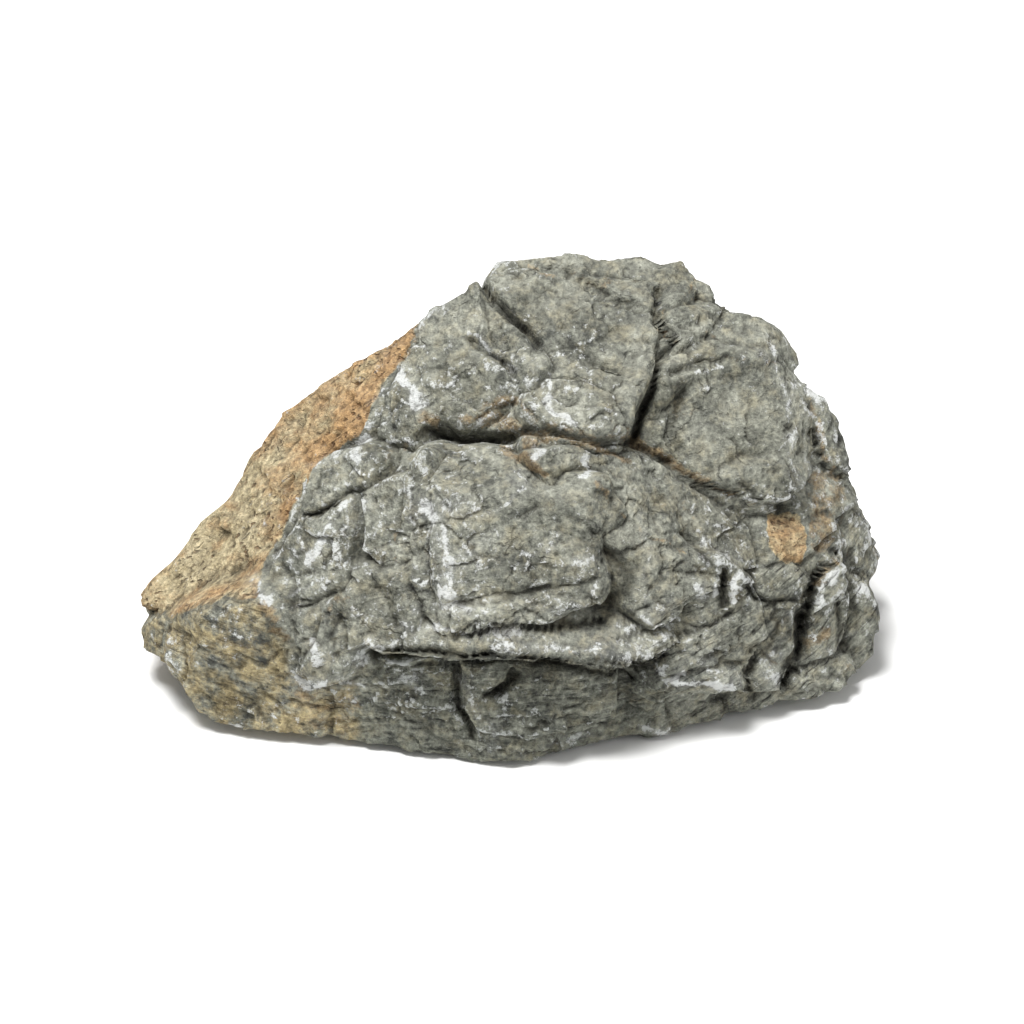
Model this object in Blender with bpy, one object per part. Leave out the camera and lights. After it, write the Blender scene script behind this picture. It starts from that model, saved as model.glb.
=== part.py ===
"""A pagoda rock: one grey limestone boulder built up of ledges, blocks and cracks.

The rock stands on the ground plane and is seen from its front, which looks along -Y. Every point
of its surface is the place where a ray from the heart of the rock leaves the last of its blocks.
"""
import math

import bmesh
import bpy
import numpy as np

MM = 0.001

# driving dimensions, in millimetres unless another unit is named
HEART = np.array([0.0, 4.0, 42.0])      # the point inside the rock that all rays start from
FRONT_VIEW_ELEVATION = 33.0             # degrees that the front view looks down by
FLAT_SPOT_WIDTH = 96.0                  # the flat spot that the rock rests on, along X
FLAT_SPOT_DEPTH = 68.0                  # the same along Y
FLAT_SPOT_CENTRE_Y = -8.0
FLAT_SPOT_CORNERS = 10
FLAT_SPOT_SLACK = 0.08                  # points this low belong to the flat spot
UNDERSIDE_RISE = 5.5                    # degrees that the underside rises outside of the flat spot
UNDERSIDE_WEAR = 0.6                    # how uneven that part of the underside is
EDGE_ROUNDING = 0.5
BEVEL_DISTANCE = 45.0                   # about how far a block's edges are from the heart
FILL_DEPTH = 3.0                        # how far the rock between the blocks lies below their faces
FILL_SPREAD = 0.06                      # how far a block's face shapes the rock round it
FILL_FLOOR = 0.02                       # the share that the closing planes have in that rock
FILL_FULL_SLOPE = -0.66                 # rays that point down more than this meet no such depth
FILL_SLOPE_FADE = 0.17
SEAM_DEPTH = 1.7                        # groove where two blocks meet
SEAM_WIDTH = 0.8
SEAM_LEAST = 0.45                       # the share of its depth that a seam keeps where it is weak
SEAM_PATCH = 14.0                       # size of the stretches in which it is weak or strong
WARP_SIZE = 13.0                        # size of the waves in the edges of the blocks
WARP_SHARE = 0.022                      # how far they go, as a share of the distance to the heart
WARP_RADIUS = 60.0                      # the ball round the heart that they are read on
LUMP_SIZE = 10.0                        # size of the lumps in the faces
LUMP_HEIGHT = 0.4
BREAK_SIZE = 11.0                       # size of the flat breaks that the faces are made of
BREAK_HEIGHT = 0.8
BREAK_LEAN = 1.3                        # how steep a break can be
BREAK_WANDER = 1.1                      # how far the breaks' borders stray
BREAK_WANDER_SIZE = 4.0
BREAK_SQUASH = 1.5                      # the breaks are wider than high by this much
SPHERE_SUBDIVISIONS = 7
RELAX_STEPS = 8
SMOOTH_STEPS = 1
FACE_BUDGET = 9400

# The planes that close the rock below its blocks. Front ones: a point and a lean in the front view,
# as a, c and w (to the right, up and towards the viewer), then how w grows to the right and upwards.
FRONT_PLANES = [
    (0, -26.5, 43.2, 0.22, 0.66),
    (0, -26.5, 43.2, -0.40, 0.66),
    (0, 15, 58.0, 0.32, 0.19),
    (0, 15, 58.0, -0.40, 0.0),
    (-33, 52, 47.5, 0.93, -0.51),
    (0, 60, 51.5, 0.25, -0.50),
    (30, 60, 49.0, -0.28, -0.5),
    (62, 45, 38, -1.2, -0.35),
]
# Back ones: a point as X, Y and Z, then the azimuth and the elevation that the plane faces.
BACK_PLANES = [
    (15, 20, 93, 180, 38),
    (0, 52, 10, 180, 5),
    (30, 46, 20, 150, 10),
    (-58, 3, 53, -145, 32),
    (-24, 1, 86, -160, 42),
    (-30, 42, 10, -150, 8),
    (66, 15, 67, 125, 38),
    (45, 20, 80, 150, 45),
    (86, -5, 15, 100, 14),
    (80, 15, 10, 125, 6),
    (-86, -8, 15, -100, 8),
    (-75, 20, 10, -125, 8),
    (0, 0, 97, 0, 84),
    (-78, -20, 10, -75, -34),
    (80, -12, 2, 75, -30),
]

# The rock's outline in the front view.
OUTLINE = [
    (-86.5, 12), (-83, 16), (-77, 21), (-73, 28), (-65, 34), (-62, 41), (-56, 50), (-52, 54),
    (-42, 61), (-36, 65), (-27, 69), (-24, 72), (-18, 78), (-12, 81), (-6, 85), (-3, 89.5),
    (3, 89.5), (12, 91), (22, 89.5), (31, 90), (36, 88.5), (40, 89), (43, 85), (46.5, 83.5),
    (47, 79), (50, 76.5), (57, 76), (63, 72), (67, 67), (68, 60.5), (73, 57.5), (76.5, 50),
    (79, 42), (81, 36), (83.5, 28), (87, 21), (86.5, 17), (83.5, 14), (86.5, 9), (86, 3),
    (84, -4), (78, -10), (72, -14), (62, -13), (55, -16.5), (36, -20.5), (14, -22.5), (5, -26.5),
    (-6, -27.5), (-18, -25), (-36, -22), (-50, -20.5), (-67, -20), (-73, -14), (-80, -3.5),
    (-85, -0.5), (-85.5, 6),
]

# The cracks of the front: their course in the front view, their width and their depth.
CRACKS = [
    ([(-21, 48), (-17, 49.4), (-9, 48.2), (1, 48.6)], 1.3, 4.5),
    ([(1, 49.6), (11, 49.4), (20, 47.2), (28, 47.2)], 1.2, 3.0),
    ([(28, 47.2), (33, 44), (44, 37.4), (55, 33.4), (65, 32)], 1.0, 2.2),
    ([(-4.6, 81), (-2.4, 78.4), (0.6, 75.6), (3.7, 72.4), (6.6, 69.6)], 1.1, 3.0),
    ([(34, 82), (34, 76), (38, 71), (37, 70), (34.5, 66.5), (34, 62), (31, 56), (28.5, 48)], 1.1, 3.4),
    ([(13, 86.5), (20, 83.4), (24.5, 79.6), (30, 78.6)], 0.9, 1.8),
    ([(-9, 71), (-3, 66.5), (4, 62)], 0.9, 1.6),
    ([(36, 63), (43, 65), (51, 66.2)], 0.9, 2.0),
    ([(39, 62), (39.5, 56), (37.5, 50), (40, 44)], 0.9, 1.8),
    ([(70, 59), (72, 52), (73, 46), (75.5, 40)], 1.1, 3.0),
    ([(71, 15), (69.6, 8), (67.6, 3), (66.5, -4), (65, -9)], 1.5, 6.0),
    ([(76, 25), (77.5, 21), (75, 17), (71, 15)], 1.2, 4.0),
    ([(50.5, 17.5), (49.4, 13), (48.8, 9)], 1.5, 4.5),
    ([(61, 9.5), (61.4, 3)], 1.1, 3.0),
    ([(63.6, 8), (64, 3)], 1.0, 2.6),
    ([(78.6, 13), (78.4, 8), (79.4, 3)], 1.4, 4.0),
    ([(56, 16.5), (55.4, 11)], 1.0, 2.4),
    ([(41, 26), (44, 21), (47, 18.6)], 1.0, 2.2),
    ([(51, 8), (46, 5.6), (40, 5)], 0.9, 2.0),
    ([(-31.5, -0.9), (-27, -1.0), (-20, -0.6), (-13, -1.6), (-4, -2)], 1.1, 4.0),
    ([(-36, 36), (-40, 33), (-45, 30.4)], 0.9, 2.0),
    ([(-35, 36), (-35, 28), (-35.6, 20)], 1.2, 2.2),
    ([(-47, 8), (-42, 11), (-38, 15)], 1.0, 1.8),
    ([(-57, 9), (-54, 5.5), (-52, 3)], 0.9, 1.6),
    ([(-3.5, -11), (-1, -9.5), (1, -6)], 1.2, 2.6),
    ([(-12, -5), (-12, -13), (-8, -20)], 1.0, 2.2),
    ([(47, -12.5), (50, -11.5)], 1.2, 2.2),
    ([(55.4, -7), (56.4, -12)], 1.3, 3.4),
    ([(27, -15), (31, -12.5)], 1.1, 1.8),
    ([(23, 20.5), (27, 17), (27, 13), (23, 11)], 2.2, 2.4),
    ([(0, 11.2), (9, 14)], 0.8, 1.4),
    ([(-2, 46), (4, 43), (9, 39.6)], 0.8, 1.2),
]
CRACK_WANDER = 0.6      # how far a crack strays from its course
CRACK_WANDER_SIZE = 5.0
CRACK_BACK = 12.0       # the least w at which a crack of the front can lie
CRACK_SHARPNESS = 1.5   # 1 for sides like a blade's, 2 for a round bottom

BLOCKS = []


def block(name, draft, outline, *faces, view=(0.0, FRONT_VIEW_ELEVATION)):
    """Adds a block: its outline in a view, the faces that end it towards the viewer, and the
    angle in degrees that its sides lean in by."""
    BLOCKS.append({"name": name, "draft": draft, "outline": outline, "faces": faces, "view": view})


# the low walls of the front and the left bulk
block("wall", 22, [(-43, -23), (-42, -4), (-30, -1), (-12, -0.5), (14, -1.5), (30, -4), (36, -9),
                   (38, -21), (5, -28), (-10, -29)],
      (0, -26.5, 44.7, 0.24, 0.66), (0, -26.5, 44.7, -0.40, 0.66))
block("wall middle", 22, [(-11, -3), (0, -1.5), (14, -2.5), (25, -5), (24, -17), (5, -22),
                          (-7, -20), (-11, -13)],
      (0, -24, 47.6, -0.12, 0.62))
block("left bulk", 22, [(-88, 6), (-72, 9.5), (-57, 10.5), (-52, 3), (-46, -6), (-42, -12),
                       (-42, -22), (-67, -22), (-88, -4)],
      (-67, -19.5, 34, 0.24, 0.62), (-84, 6, 25, 1.6, 0.2))
block("ochre flank", 22, [(-90, 10), (-62, 50), (-22, 78), (-22, 73), (-27, 63), (-33, 52),
                          (-46, 40.5), (-52, 28), (-58, 15), (-57, 10), (-72, 8)],
      (-33, 52, 50, 0.93, -0.51))
# the ledge below the middle boulder
block("ledge", 30, [(-32.5, 2), (-30, 0), (-18, 1.2), (-12, 0.6), (0, 0.2), (8, 1.2), (14, 0),
                    (20, -2), (27, -3), (33, -1), (39, 3), (45, 8), (44, 16), (34, 22), (0, 16),
                    (-22, 18), (-33, 12)],
      (0, 1, 66.0, 0.16, -0.75), (0, 1, 66.0, -0.30, -0.6))
block("lower ledge", 24, [(-12, -1.2), (0, -1.5), (14, -2.5), (24, -5), (33, -4), (37, -0.5),
                          (30, 3), (0, 3), (-12, 3)],
      (0, -1, 62, 0.1, -0.2), (10, -1, 61.5, -0.28, -0.2))
# the boulder in the middle
block("boulder", 24, [(-24.5, 38), (-22, 44), (-19, 47), (-7, 48.3), (0, 45.5), (10, 42), (22, 38),
                      (28, 30), (27, 22), (22, 10.5), (19, 8.6), (12, 6.6), (0, 4), (-8, 3),
                      (-14, 3), (-20, 8), (-24, 14), (-25, 28)],
      (0, 18, 66.4, -0.02, 0.17), (0, 34, 69.2, 0.02, -0.83), (-14.5, 18, 66.3, 0.85, 0.12),
      (19, 20, 66, -0.75, 0.1))
block("boulder rim", 22, [(-25.5, 30), (-24.5, 39), (-20, 45), (-19, 38), (-18, 26), (-18, 14),
                          (-13, 7), (-8, 4.4), (-9, 2.6), (-15, 2.6), (-21, 8), (-25, 14)],
      (-19, 18, 63.2, 0.5, 0.12))
block("boulder foot", 26, [(-13, 3), (0, 3.6), (8, 4.6), (19, 8.4), (19, 10), (10, 10.5), (-2, 9),
                           (-13, 7)],
      (0, 5, 65.6, -0.1, 0.3))
# the slope to the right of the boulder
block("right slope", 22, [(4, 45), (14, 46.5), (28, 46), (38, 40), (46, 36), (57, 31.5), (60, 26),
                          (60, 19), (54, 17), (44, 10), (34, 3), (28, 8), (24, 20)],
      (31, 24, 59.2, -0.60, -0.34), (31, 20, 60.5, -0.35, 0.15))
block("low slope", 22, [(31, 12), (38, 20), (50, 19), (57, 14), (62, 4), (55, -4), (44, -8),
                        (36, -9), (35, 0), (45, 8)],
      (45, 5, 50.3, -0.45, 0.35))
# the grey mass to the left of the boulder
block("left upper", 22, [(-46, 41.5), (-40, 45.5), (-34, 47), (-29.5, 42.5), (-34, 36.8),
                         (-36.5, 36), (-40, 33), (-44, 30.5), (-50, 31)],
      (-40, 38, 55.6, 0.45, -0.35))
block("left middle", 22, [(-50, 30), (-44, 29.5), (-40, 32), (-36.5, 35), (-35.3, 26), (-36, 18),
                          (-40, 12), (-46, 8), (-56, 9), (-58, 15), (-54, 22)],
      (-44, 22, 56.3, 0.55, 0.05), (-40, 24, 58, -0.3, 0.0))
block("small block", 22, [(-34, 36.3), (-25, 40), (-21, 42), (-22, 20), (-30, 18), (-34, 22)],
      (-28, 30, 59.8, 0.35, -0.05))
block("left foot", 22, [(-57, 8), (-46, 7), (-40, 11), (-36, 17), (-26, 18), (-22, 8), (-24, 2),
                        (-33, 2.2), (-38, -2), (-40, -9), (-47, -10), (-51, -6), (-48, 0),
                        (-54, 3)],
      (-44, 0, 52.6, 0.45, 0.35), (-30, 8, 60, 0.35, 0.05))
block("left lump", 26, [(-49, -6), (-45, -1), (-43, 4), (-39, 2), (-38, -4), (-40, -9),
                        (-46, -10)],
      (-44, -4, 52.8, 0.3, 0.45))
# the upper mass
block("upper left", 22, [(-21, 75), (-14, 81), (-8, 85), (-6, 72), (0, 67), (5, 61), (4, 57),
                         (-6, 53.5), (-12, 51), (-16, 54), (-20, 50.5), (-24, 46), (-30, 47),
                         (-32.5, 53), (-30, 58), (-25, 66)],
      (-16, 62, 54.6, 0.42, -0.42), (-26, 55, 54, 0.9, -0.1), (-10, 56, 57.5, 0.1, -0.1))
block("rib", 24, [(-9, 71), (-12, 77), (-7.5, 85), (-3, 78), (0, 75.5), (7, 69), (9, 66),
                  (5, 61.5), (-2, 66)],
      (0, 72, 53.6, 0.2, -0.62))
block("upper main", 22, [(-5, 85), (0, 87.5), (14, 85.5), (20, 83), (24, 79.8), (33, 78),
                         (34, 75), (33.5, 62.5), (31, 56), (28, 48), (20, 47.5), (14, 48),
                         (10, 50.5), (5, 55), (4, 58), (9, 66), (5, 71.5), (-1, 77.5),
                         (-4.5, 81)],
      (12, 62, 57.4, -0.12, -0.50), (20, 51, 59.8, -0.1, 0.1), (14, 85, 45.6, 0, -0.9))
block("upper lobe", 28, [(4, 58), (8, 62.5), (16, 62), (24, 58), (27, 50), (20, 48), (14, 48.5),
                         (8, 52), (4, 55)],
      (13, 56, 60.4, -0.05, -0.35))
block("rear top", 22, [(-4, 86), (-3, 93), (31, 94), (42, 93), (43, 83), (36, 79.5), (30, 78.5),
                       (24, 80.5), (20, 84), (13, 86.5)],
      (15, 88, 39.5, -0.05, -0.8))
block("rear right", 22, [(34, 80), (36, 77), (39, 71), (46, 73), (52, 79), (50, 86), (44, 90),
                         (36, 84)],
      (42, 79, 42, -0.3, -0.9))
# the right hand boulder and the slab on it
block("right slab", 24, [(36, 63.3), (40, 62.7), (43, 65), (50, 66), (60, 65.5), (63, 62),
                         (68, 66), (66, 74), (58, 79), (50, 79), (44, 74), (39, 70.5), (35, 67)],
      (48, 68, 47.6, -0.22, -0.75), (63, 67, 41, -1.2, -0.6))
block("right boulder", 22, [(39.5, 62), (43, 64.5), (50, 65.5), (60, 65), (65, 66), (69, 60),
                            (71, 52), (71, 44), (69, 38), (65, 33), (58, 34), (50, 38),
                            (46, 37.5), (41, 40.5), (38, 49), (39.5, 56)],
      (50, 50, 47.8, -0.22, -0.04), (64.5, 50, 44.0, -1.4, -0.15))
block("right foot", 26, [(50, 38.5), (58, 41), (64.5, 41), (67, 36), (64, 31.8), (58, 33),
                         (54, 35.5)],
      (58, 37, 47.2, -0.25, 0.45))
block("wedge", 22, [(34, 61), (38, 62), (38.5, 56), (37, 49), (40, 44), (36, 43), (30, 46.5),
                    (29.5, 50), (33, 57)],
      (35, 52, 50.2, -0.25, 0.0))
# the right rim and the low blocks of the right end
block("rim upper", 22, [(70.5, 60), (73, 52), (74, 46), (76, 41), (82, 40), (80, 50), (76, 60)],
      (74, 50, 31, -1.0, -0.3))
block("rim nook", 24, [(68, 38), (70, 41), (76, 40), (82, 38), (82, 33), (76, 28), (70, 28),
                       (67, 31)],
      (72, 35, 33.6, -0.8, -0.2))
block("ochre patch", 22, [(59, 31), (67, 31), (77, 30), (76, 25), (70, 20), (67, 18), (59, 19)],
      (64, 24, 40.5, -0.6, -0.25))
block("rim lump", 26, [(79.5, 32), (84, 30), (89, 21), (88, 16), (81, 15), (79, 19), (78, 25)],
      (82, 22, 24, -0.9, 0.0))
block("low boulder", 26, [(56, 17), (60, 19), (67, 18.5), (71, 15), (69.5, 11), (65, 10),
                          (60, 11), (56, 13)],
      (63, 14, 42.4, -0.4, 0.1))
block("low block", 22, [(50, 17), (56, 12.5), (60, 10.5), (68, 9.5), (68, 2), (65, -5),
                        (63, -10), (56, -12), (54, -8), (46, -8), (44, -2), (50, 4)],
      (58, 0, 39.0, -0.45, 0.45))
block("low slab", 30, [(50, 16.5), (55.5, 14), (57, 8), (55, 1), (50, 2), (49.6, 9)],
      (53, 8, 45.6, -0.35, 0.3))
block("low lump", 30, [(58, 8.6), (62, 9.6), (67.4, 8.8), (67, 3), (64, -1), (59, 1)],
      (63, 4, 38.6, -0.3, 0.5))
block("foot lump", 30, [(56.6, -4.6), (61, -3), (65.6, -4.4), (64, -10), (57, -11.4)],
      (61, -7, 36.4, -0.35, 0.5))
block("low shelf", 28, [(36, -9.5), (44, -8.6), (54, -9.6), (56, -3), (50, 1), (42, 0), (36, -4)],
      (46, -6, 45.8, -0.40, 0.0))
block("right column", 24, [(70.5, 13), (75, 18), (79, 17), (80.5, 11), (79.5, 4), (77, -1),
                           (71, -4), (69.3, 3)],
      (75, 8, 32.4, -0.5, 0.35))
block("end lump", 26, [(81.5, 13), (89, 9), (88, 2), (86, -5), (79, -4), (80, 4)],
      (83, 5, 21.6, -0.9, 0.3))
block("end foot", 22, [(64, -9.5), (66, -5), (71, -5), (80, -3), (84, -6), (78, -14), (68, -17)],
      (72, -9, 26.2, -0.4, 0.55))

# The blocks of the sides and the back: azimuth and elevation from the heart, half width, half
# height, turn in degrees, how far the block stands out, and its lean to the right and upwards.
CHUNKS = [
    (104, -14, 17, 10, 6, 2.6, 0.10, 0.05),
    (134, -18, 25, 9, -5, 1.4, -0.08, 0.15),
    (166, -22, 19, 11, 6, 3.2, 0.10, 0.05),
    (-162, -24, 15, 9, -8, 1.8, -0.05, 0.15),
    (-128, -16, 29, 11, 4, 3.0, 0.06, 0.10),
    (-102, -8, 13, 12, -14, 1.8, -0.08, 0.05),
    (112, 8, 16, 9, -10, 3.2, 0.12, -0.10),
    (146, 4, 24, 12, 7, 2.0, -0.06, 0.08),
    (178, 4, 15, 11, -10, 4.4, 0.06, 0.10),
    (-156, 6, 24, 10, 8, 2.4, 0.10, -0.06),
    (-124, 8, 17, 9, -12, 3.8, -0.08, 0.06),
    (114, 32, 12, 11, 20, 2.4, 0.10, -0.08),
    (142, 30, 19, 9, -10, 4.0, -0.08, 0.10),
    (174, 28, 18, 10, 6, 1.6, 0.06, 0.05),
    (-150, 31, 14, 12, -24, 3.6, 0.12, 0.08),
    (-120, 28, 20, 10, 14, 2.0, -0.08, 0.06),
    (132, 56, 11, 9, 12, 2.2, -0.08, -0.08),
    (170, 52, 21, 9, -8, 3.6, 0.08, 0.06),
    (-148, 54, 17, 10, 18, 2.2, -0.10, -0.08),
    (-112, 50, 10, 7, -10, 2.6, 0.08, 0.08),
    (160, 74, 15, 7, 6, 2.0, 0.06, -0.05),
    (97, 58, 10, 7, 12, 2.0, 0.05, 0.06),
    (84, -16, 13, 9, 8, 1.8, 0.06, 0.05),
    (90, 10, 11, 9, -12, 2.2, -0.06, -0.05),
    (62, -27, 12, 7, 12, 1.2, 0.05, 0.08),
    (-70, -20, 13, 8, -8, 1.4, 0.05, 0.05),
]
CHUNK_CORNERS = 7
CHUNK_DRAFT = 26.0
CHUNK_REACH = (0.8, 1.2)        # how far a corner is from the middle, as a share of the half size
CHUNK_SHIFT = 0.6               # how far a corner strays round the middle, in steps between corners
CHUNK_SQUARENESS = 0.7          # 1 for an oval, less for a block
CHUNK_BROW = (0.45, 0.1, -0.55)  # height share and leans of the upper face of a block


def view_axes(azimuth, elevation):
    """The directions to the right, up and towards the viewer of a view, angles in degrees."""
    a = math.radians(azimuth)
    e = math.radians(elevation)
    right = (math.cos(a), math.sin(a), 0.0)
    up = (-math.sin(a) * math.sin(e), math.cos(a) * math.sin(e), math.cos(e))
    near = (math.sin(a) * math.cos(e), -math.cos(a) * math.cos(e), math.sin(e))
    return np.array([right, up, near])


def hash01(ix, iy, iz, seed):
    """A number from 0 to 1 for each point with whole coordinates."""
    n = ix.astype(np.uint32) * np.uint32(374761393)
    n = n ^ (iy.astype(np.uint32) * np.uint32(668265263))
    n = n ^ (iz.astype(np.uint32) * np.uint32(2147483647))
    n = n ^ np.uint32(seed * 1274126177 % 4294967296)
    n = (n ^ (n >> np.uint32(13))) * np.uint32(1274126177)
    n = (n ^ (n >> np.uint32(15))) * np.uint32(2246822519)
    n = n ^ (n >> np.uint32(16))
    return n.astype(np.float64) / 4294967295.0


def noise(points, size, seed):
    """Smooth noise from -1 to 1 with waves of about the given size."""
    p = points / size + 1000.0
    base = np.floor(p)
    f = p - base
    f = f * f * f * (f * (f * 6 - 15) + 10)
    i = base.astype(np.int64)
    total = np.zeros(len(points))
    for dx in (0, 1):
        wx = f[:, 0] if dx else 1 - f[:, 0]
        for dy in (0, 1):
            wy = f[:, 1] if dy else 1 - f[:, 1]
            for dz in (0, 1):
                wz = f[:, 2] if dz else 1 - f[:, 2]
                total += wx * wy * wz * hash01(i[:, 0] + dx, i[:, 1] + dy, i[:, 2] + dz, seed)
    return total * 2 - 1


def rough(points, size, octaves, seed):
    """Noise of several sizes, each half of the one before in size and height."""
    total = np.zeros(len(points))
    for k in range(octaves):
        total += 0.5 ** k * noise(points, size / 2 ** k, seed + 17 * k)
    return total


def breaks(points, size, seed):
    """Broken stone: cells of about the given size, each a plane with its own lean and height, from
    about -1 to 1."""
    p = points / size + 1000.0
    base = np.floor(p).astype(np.int64)
    nearest = np.full(len(p), 9.0)
    height = np.zeros(len(p))
    for dx in (-1, 0, 1):
        for dy in (-1, 0, 1):
            for dz in (-1, 0, 1):
                q = base + (dx, dy, dz)
                own = [hash01(q[:, 0], q[:, 1], q[:, 2], seed + k) for k in range(7)]
                away = p - q - np.stack(own[:3], 1)
                d = np.linalg.norm(away, axis=1)
                plane = BREAK_LEAN * (away * (np.stack(own[3:6], 1) * 2 - 1)).sum(1) + own[6] - 0.5
                height = np.where(d < nearest, plane, height)
                nearest = np.minimum(nearest, d)
    return height


def break_places(points):
    """The places that the breaks are read at: points that stray, squashed from above."""
    wander = [rough(points, BREAK_WANDER_SIZE, 2, 21 + k) for k in range(3)]
    places = points + BREAK_WANDER * np.stack(wander, 1)
    places[:, 2] *= BREAK_SQUASH
    return places


def leaning_plane(face, axes):
    """Outward normal of a face given in a view, and its distance from the heart."""
    a, c, w, lean_a, lean_c = face
    normal = np.array([-lean_a, -lean_c, 1.0])
    normal = normal / np.linalg.norm(normal) @ axes
    return normal, normal @ (np.array([a, c, w]) @ axes - HEART)


def facing_plane(plane):
    """Outward normal of a plane given by a point and where it faces, and its distance."""
    x, y, z, azimuth, elevation = plane
    normal = view_axes(azimuth, elevation)[2]
    return normal, normal @ (np.array([x, y, z]) - HEART)


def underside_planes():
    """The planes that rise from the edge of the flat spot, all round."""
    planes = []
    for k in range(FLAT_SPOT_CORNERS):
        azimuth = 360.0 / FLAT_SPOT_CORNERS * k
        a = math.radians(azimuth)
        x = math.sin(a) * FLAT_SPOT_WIDTH / 2
        y = -math.cos(a) * FLAT_SPOT_DEPTH / 2 + FLAT_SPOT_CENTRE_Y
        planes.append(facing_plane((x, y, 0.0, azimuth, UNDERSIDE_RISE - 90.0)))
    return np.array([p[0] for p in planes]), np.array([p[1] for p in planes])


def chunk_block(number, chunk, core):
    """Adds an uneven block with seven corners to the sides or the back."""
    azimuth, elevation, half_width, half_height, turn, stand, lean_a, lean_c = chunk
    k = np.arange(CHUNK_CORNERS)
    nearest, farthest = CHUNK_REACH
    reach = nearest + (farthest - nearest) * hash01(k, k * 0 + number, k * 0, 5)
    shift = CHUNK_SHIFT * hash01(k, k * 0 + number, k * 0, 6)
    angle = 2 * math.pi * (k + shift) / CHUNK_CORNERS
    x = np.sign(np.cos(angle)) * np.abs(np.cos(angle)) ** CHUNK_SQUARENESS * half_width * reach
    y = np.sign(np.sin(angle)) * np.abs(np.sin(angle)) ** CHUNK_SQUARENESS * half_height * reach
    t = math.radians(turn)
    axes = view_axes(azimuth, elevation)
    middle = axes @ HEART
    a = middle[0] + x * math.cos(t) - y * math.sin(t)
    c = middle[1] + x * math.sin(t) + y * math.cos(t)
    slope = core[0] @ axes[2]
    exits = np.where(slope > 1e-3, core[1] / np.maximum(slope, 1e-3), 1e3)
    normal = axes @ core[0][np.argmin(exits)]
    lean = (lean_a - normal[0] / normal[2], lean_c - normal[1] / normal[2])
    w = middle[2] + exits.min() + stand
    face = (middle[0], middle[1], w, lean[0], lean[1])
    height, brow_a, brow_c = CHUNK_BROW
    brow = (middle[0], middle[1] + half_height * height, w, lean[0] + brow_a, lean[1] + brow_c)
    block("chunk %d" % number, CHUNK_DRAFT, list(zip(a, c)), face, brow, view=(azimuth, elevation))


def prepare(item):
    """Adds to a block its planes and its outline as the heart sees it."""
    axes = view_axes(*item["view"])
    planes = [leaning_plane(face, axes) for face in item["faces"]]
    item["normals"] = np.array([p[0] for p in planes])
    item["rooms"] = np.array([p[1] for p in planes])
    outline = np.array(item["outline"], float)
    depths = []
    for a, c, w, lean_a, lean_c in item["faces"]:
        depths.append(w + lean_a * (outline[:, 0] - a) + lean_c * (outline[:, 1] - c))
    corners = np.column_stack([outline, np.min(depths, axis=0)]) @ axes - HEART
    middle = corners.mean(0)
    middle /= np.linalg.norm(middle)
    side = np.cross([0.0, 0.0, 1.0], middle)
    side /= np.linalg.norm(side)
    item["frame"] = np.array([side, np.cross(middle, side), middle])
    seen = corners @ item["frame"].T
    item["polygon"] = seen[:, :2] / seen[:, 2:]
    item["far"] = np.linalg.norm(corners, axis=1).max() * 1.03


def outline_distance(points, polygon):
    """Distance of points to a closed outline, below zero inside of it."""
    nearest = np.full(len(points), 1e9)
    inside = np.zeros(len(points), bool)
    for p, q in zip(polygon, np.roll(polygon, -1, 0)):
        edge = q - p
        d = points - p
        t = np.clip(d @ edge / (edge @ edge), 0, 1)
        nearest = np.minimum(nearest, ((d - t[:, None] * edge) ** 2).sum(1))
        if abs(edge[1]) > 1e-12:
            across = (p[1] > points[:, 1]) != (q[1] > points[:, 1])
            inside ^= across & (points[:, 0] < p[0] + edge[0] * (points[:, 1] - p[1]) / edge[1])
    nearest = np.sqrt(nearest)
    return np.where(inside, -nearest, nearest)


def soft_min(values, softness):
    """The least value of each row, a little less where two are about the same."""
    least = values.min(1)
    excess = np.minimum(values - least[:, None], 60 * softness)
    return least - softness * np.log(np.exp(-excess / softness).sum(1))


def plane_exit(rays, normals, rooms, softness):
    """How far rays from the heart go before the first of the planes."""
    slope = rays @ normals.T
    return soft_min(np.where(slope > 1e-3, rooms / np.maximum(slope, 1e-3), 1e3), softness)


def block_exit(rays, item):
    """How far rays from the heart go before they leave a block, the same for its faces alone, and
    the distance to its outline; 0, 0 and 9 where they are far from it."""
    out = np.zeros(len(rays))
    faces = np.zeros(len(rays))
    gaps = np.full(len(rays), 9.0)
    seen = rays @ item["frame"].T
    reach = np.abs(item["polygon"]).max() + 0.6
    near = np.abs(seen[:, :2]).max(1) < reach * np.maximum(seen[:, 2], 0)
    near &= seen[:, 2] > 0.2
    seen = seen[near]
    t = np.minimum(plane_exit(rays[near], item["normals"], item["rooms"], EDGE_ROUNDING), item["far"])
    gap = outline_distance(seen[:, :2] / seen[:, 2:], item["polygon"])
    faces[near] = t
    gaps[near] = gap
    bevel = EDGE_ROUNDING * 1.2 / BEVEL_DISTANCE
    gap = 0.5 * (gap + np.sqrt(gap * gap + bevel * bevel))
    draft = math.radians(item["draft"])
    out[near] = t * math.sin(draft) / np.sin(np.minimum(draft + gap, 1.5))
    return out, faces, gaps


def path_distance(points, path):
    """Distance of points to an open path."""
    nearest = np.full(len(points), 1e9)
    path = np.array(path, float)
    for p, q in zip(path[:-1], path[1:]):
        edge = q - p
        d = points - p
        t = np.clip(d @ edge / (edge @ edge), 0, 1)
        nearest = np.minimum(nearest, ((d - t[:, None] * edge) ** 2).sum(1))
    return np.sqrt(nearest)


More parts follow.
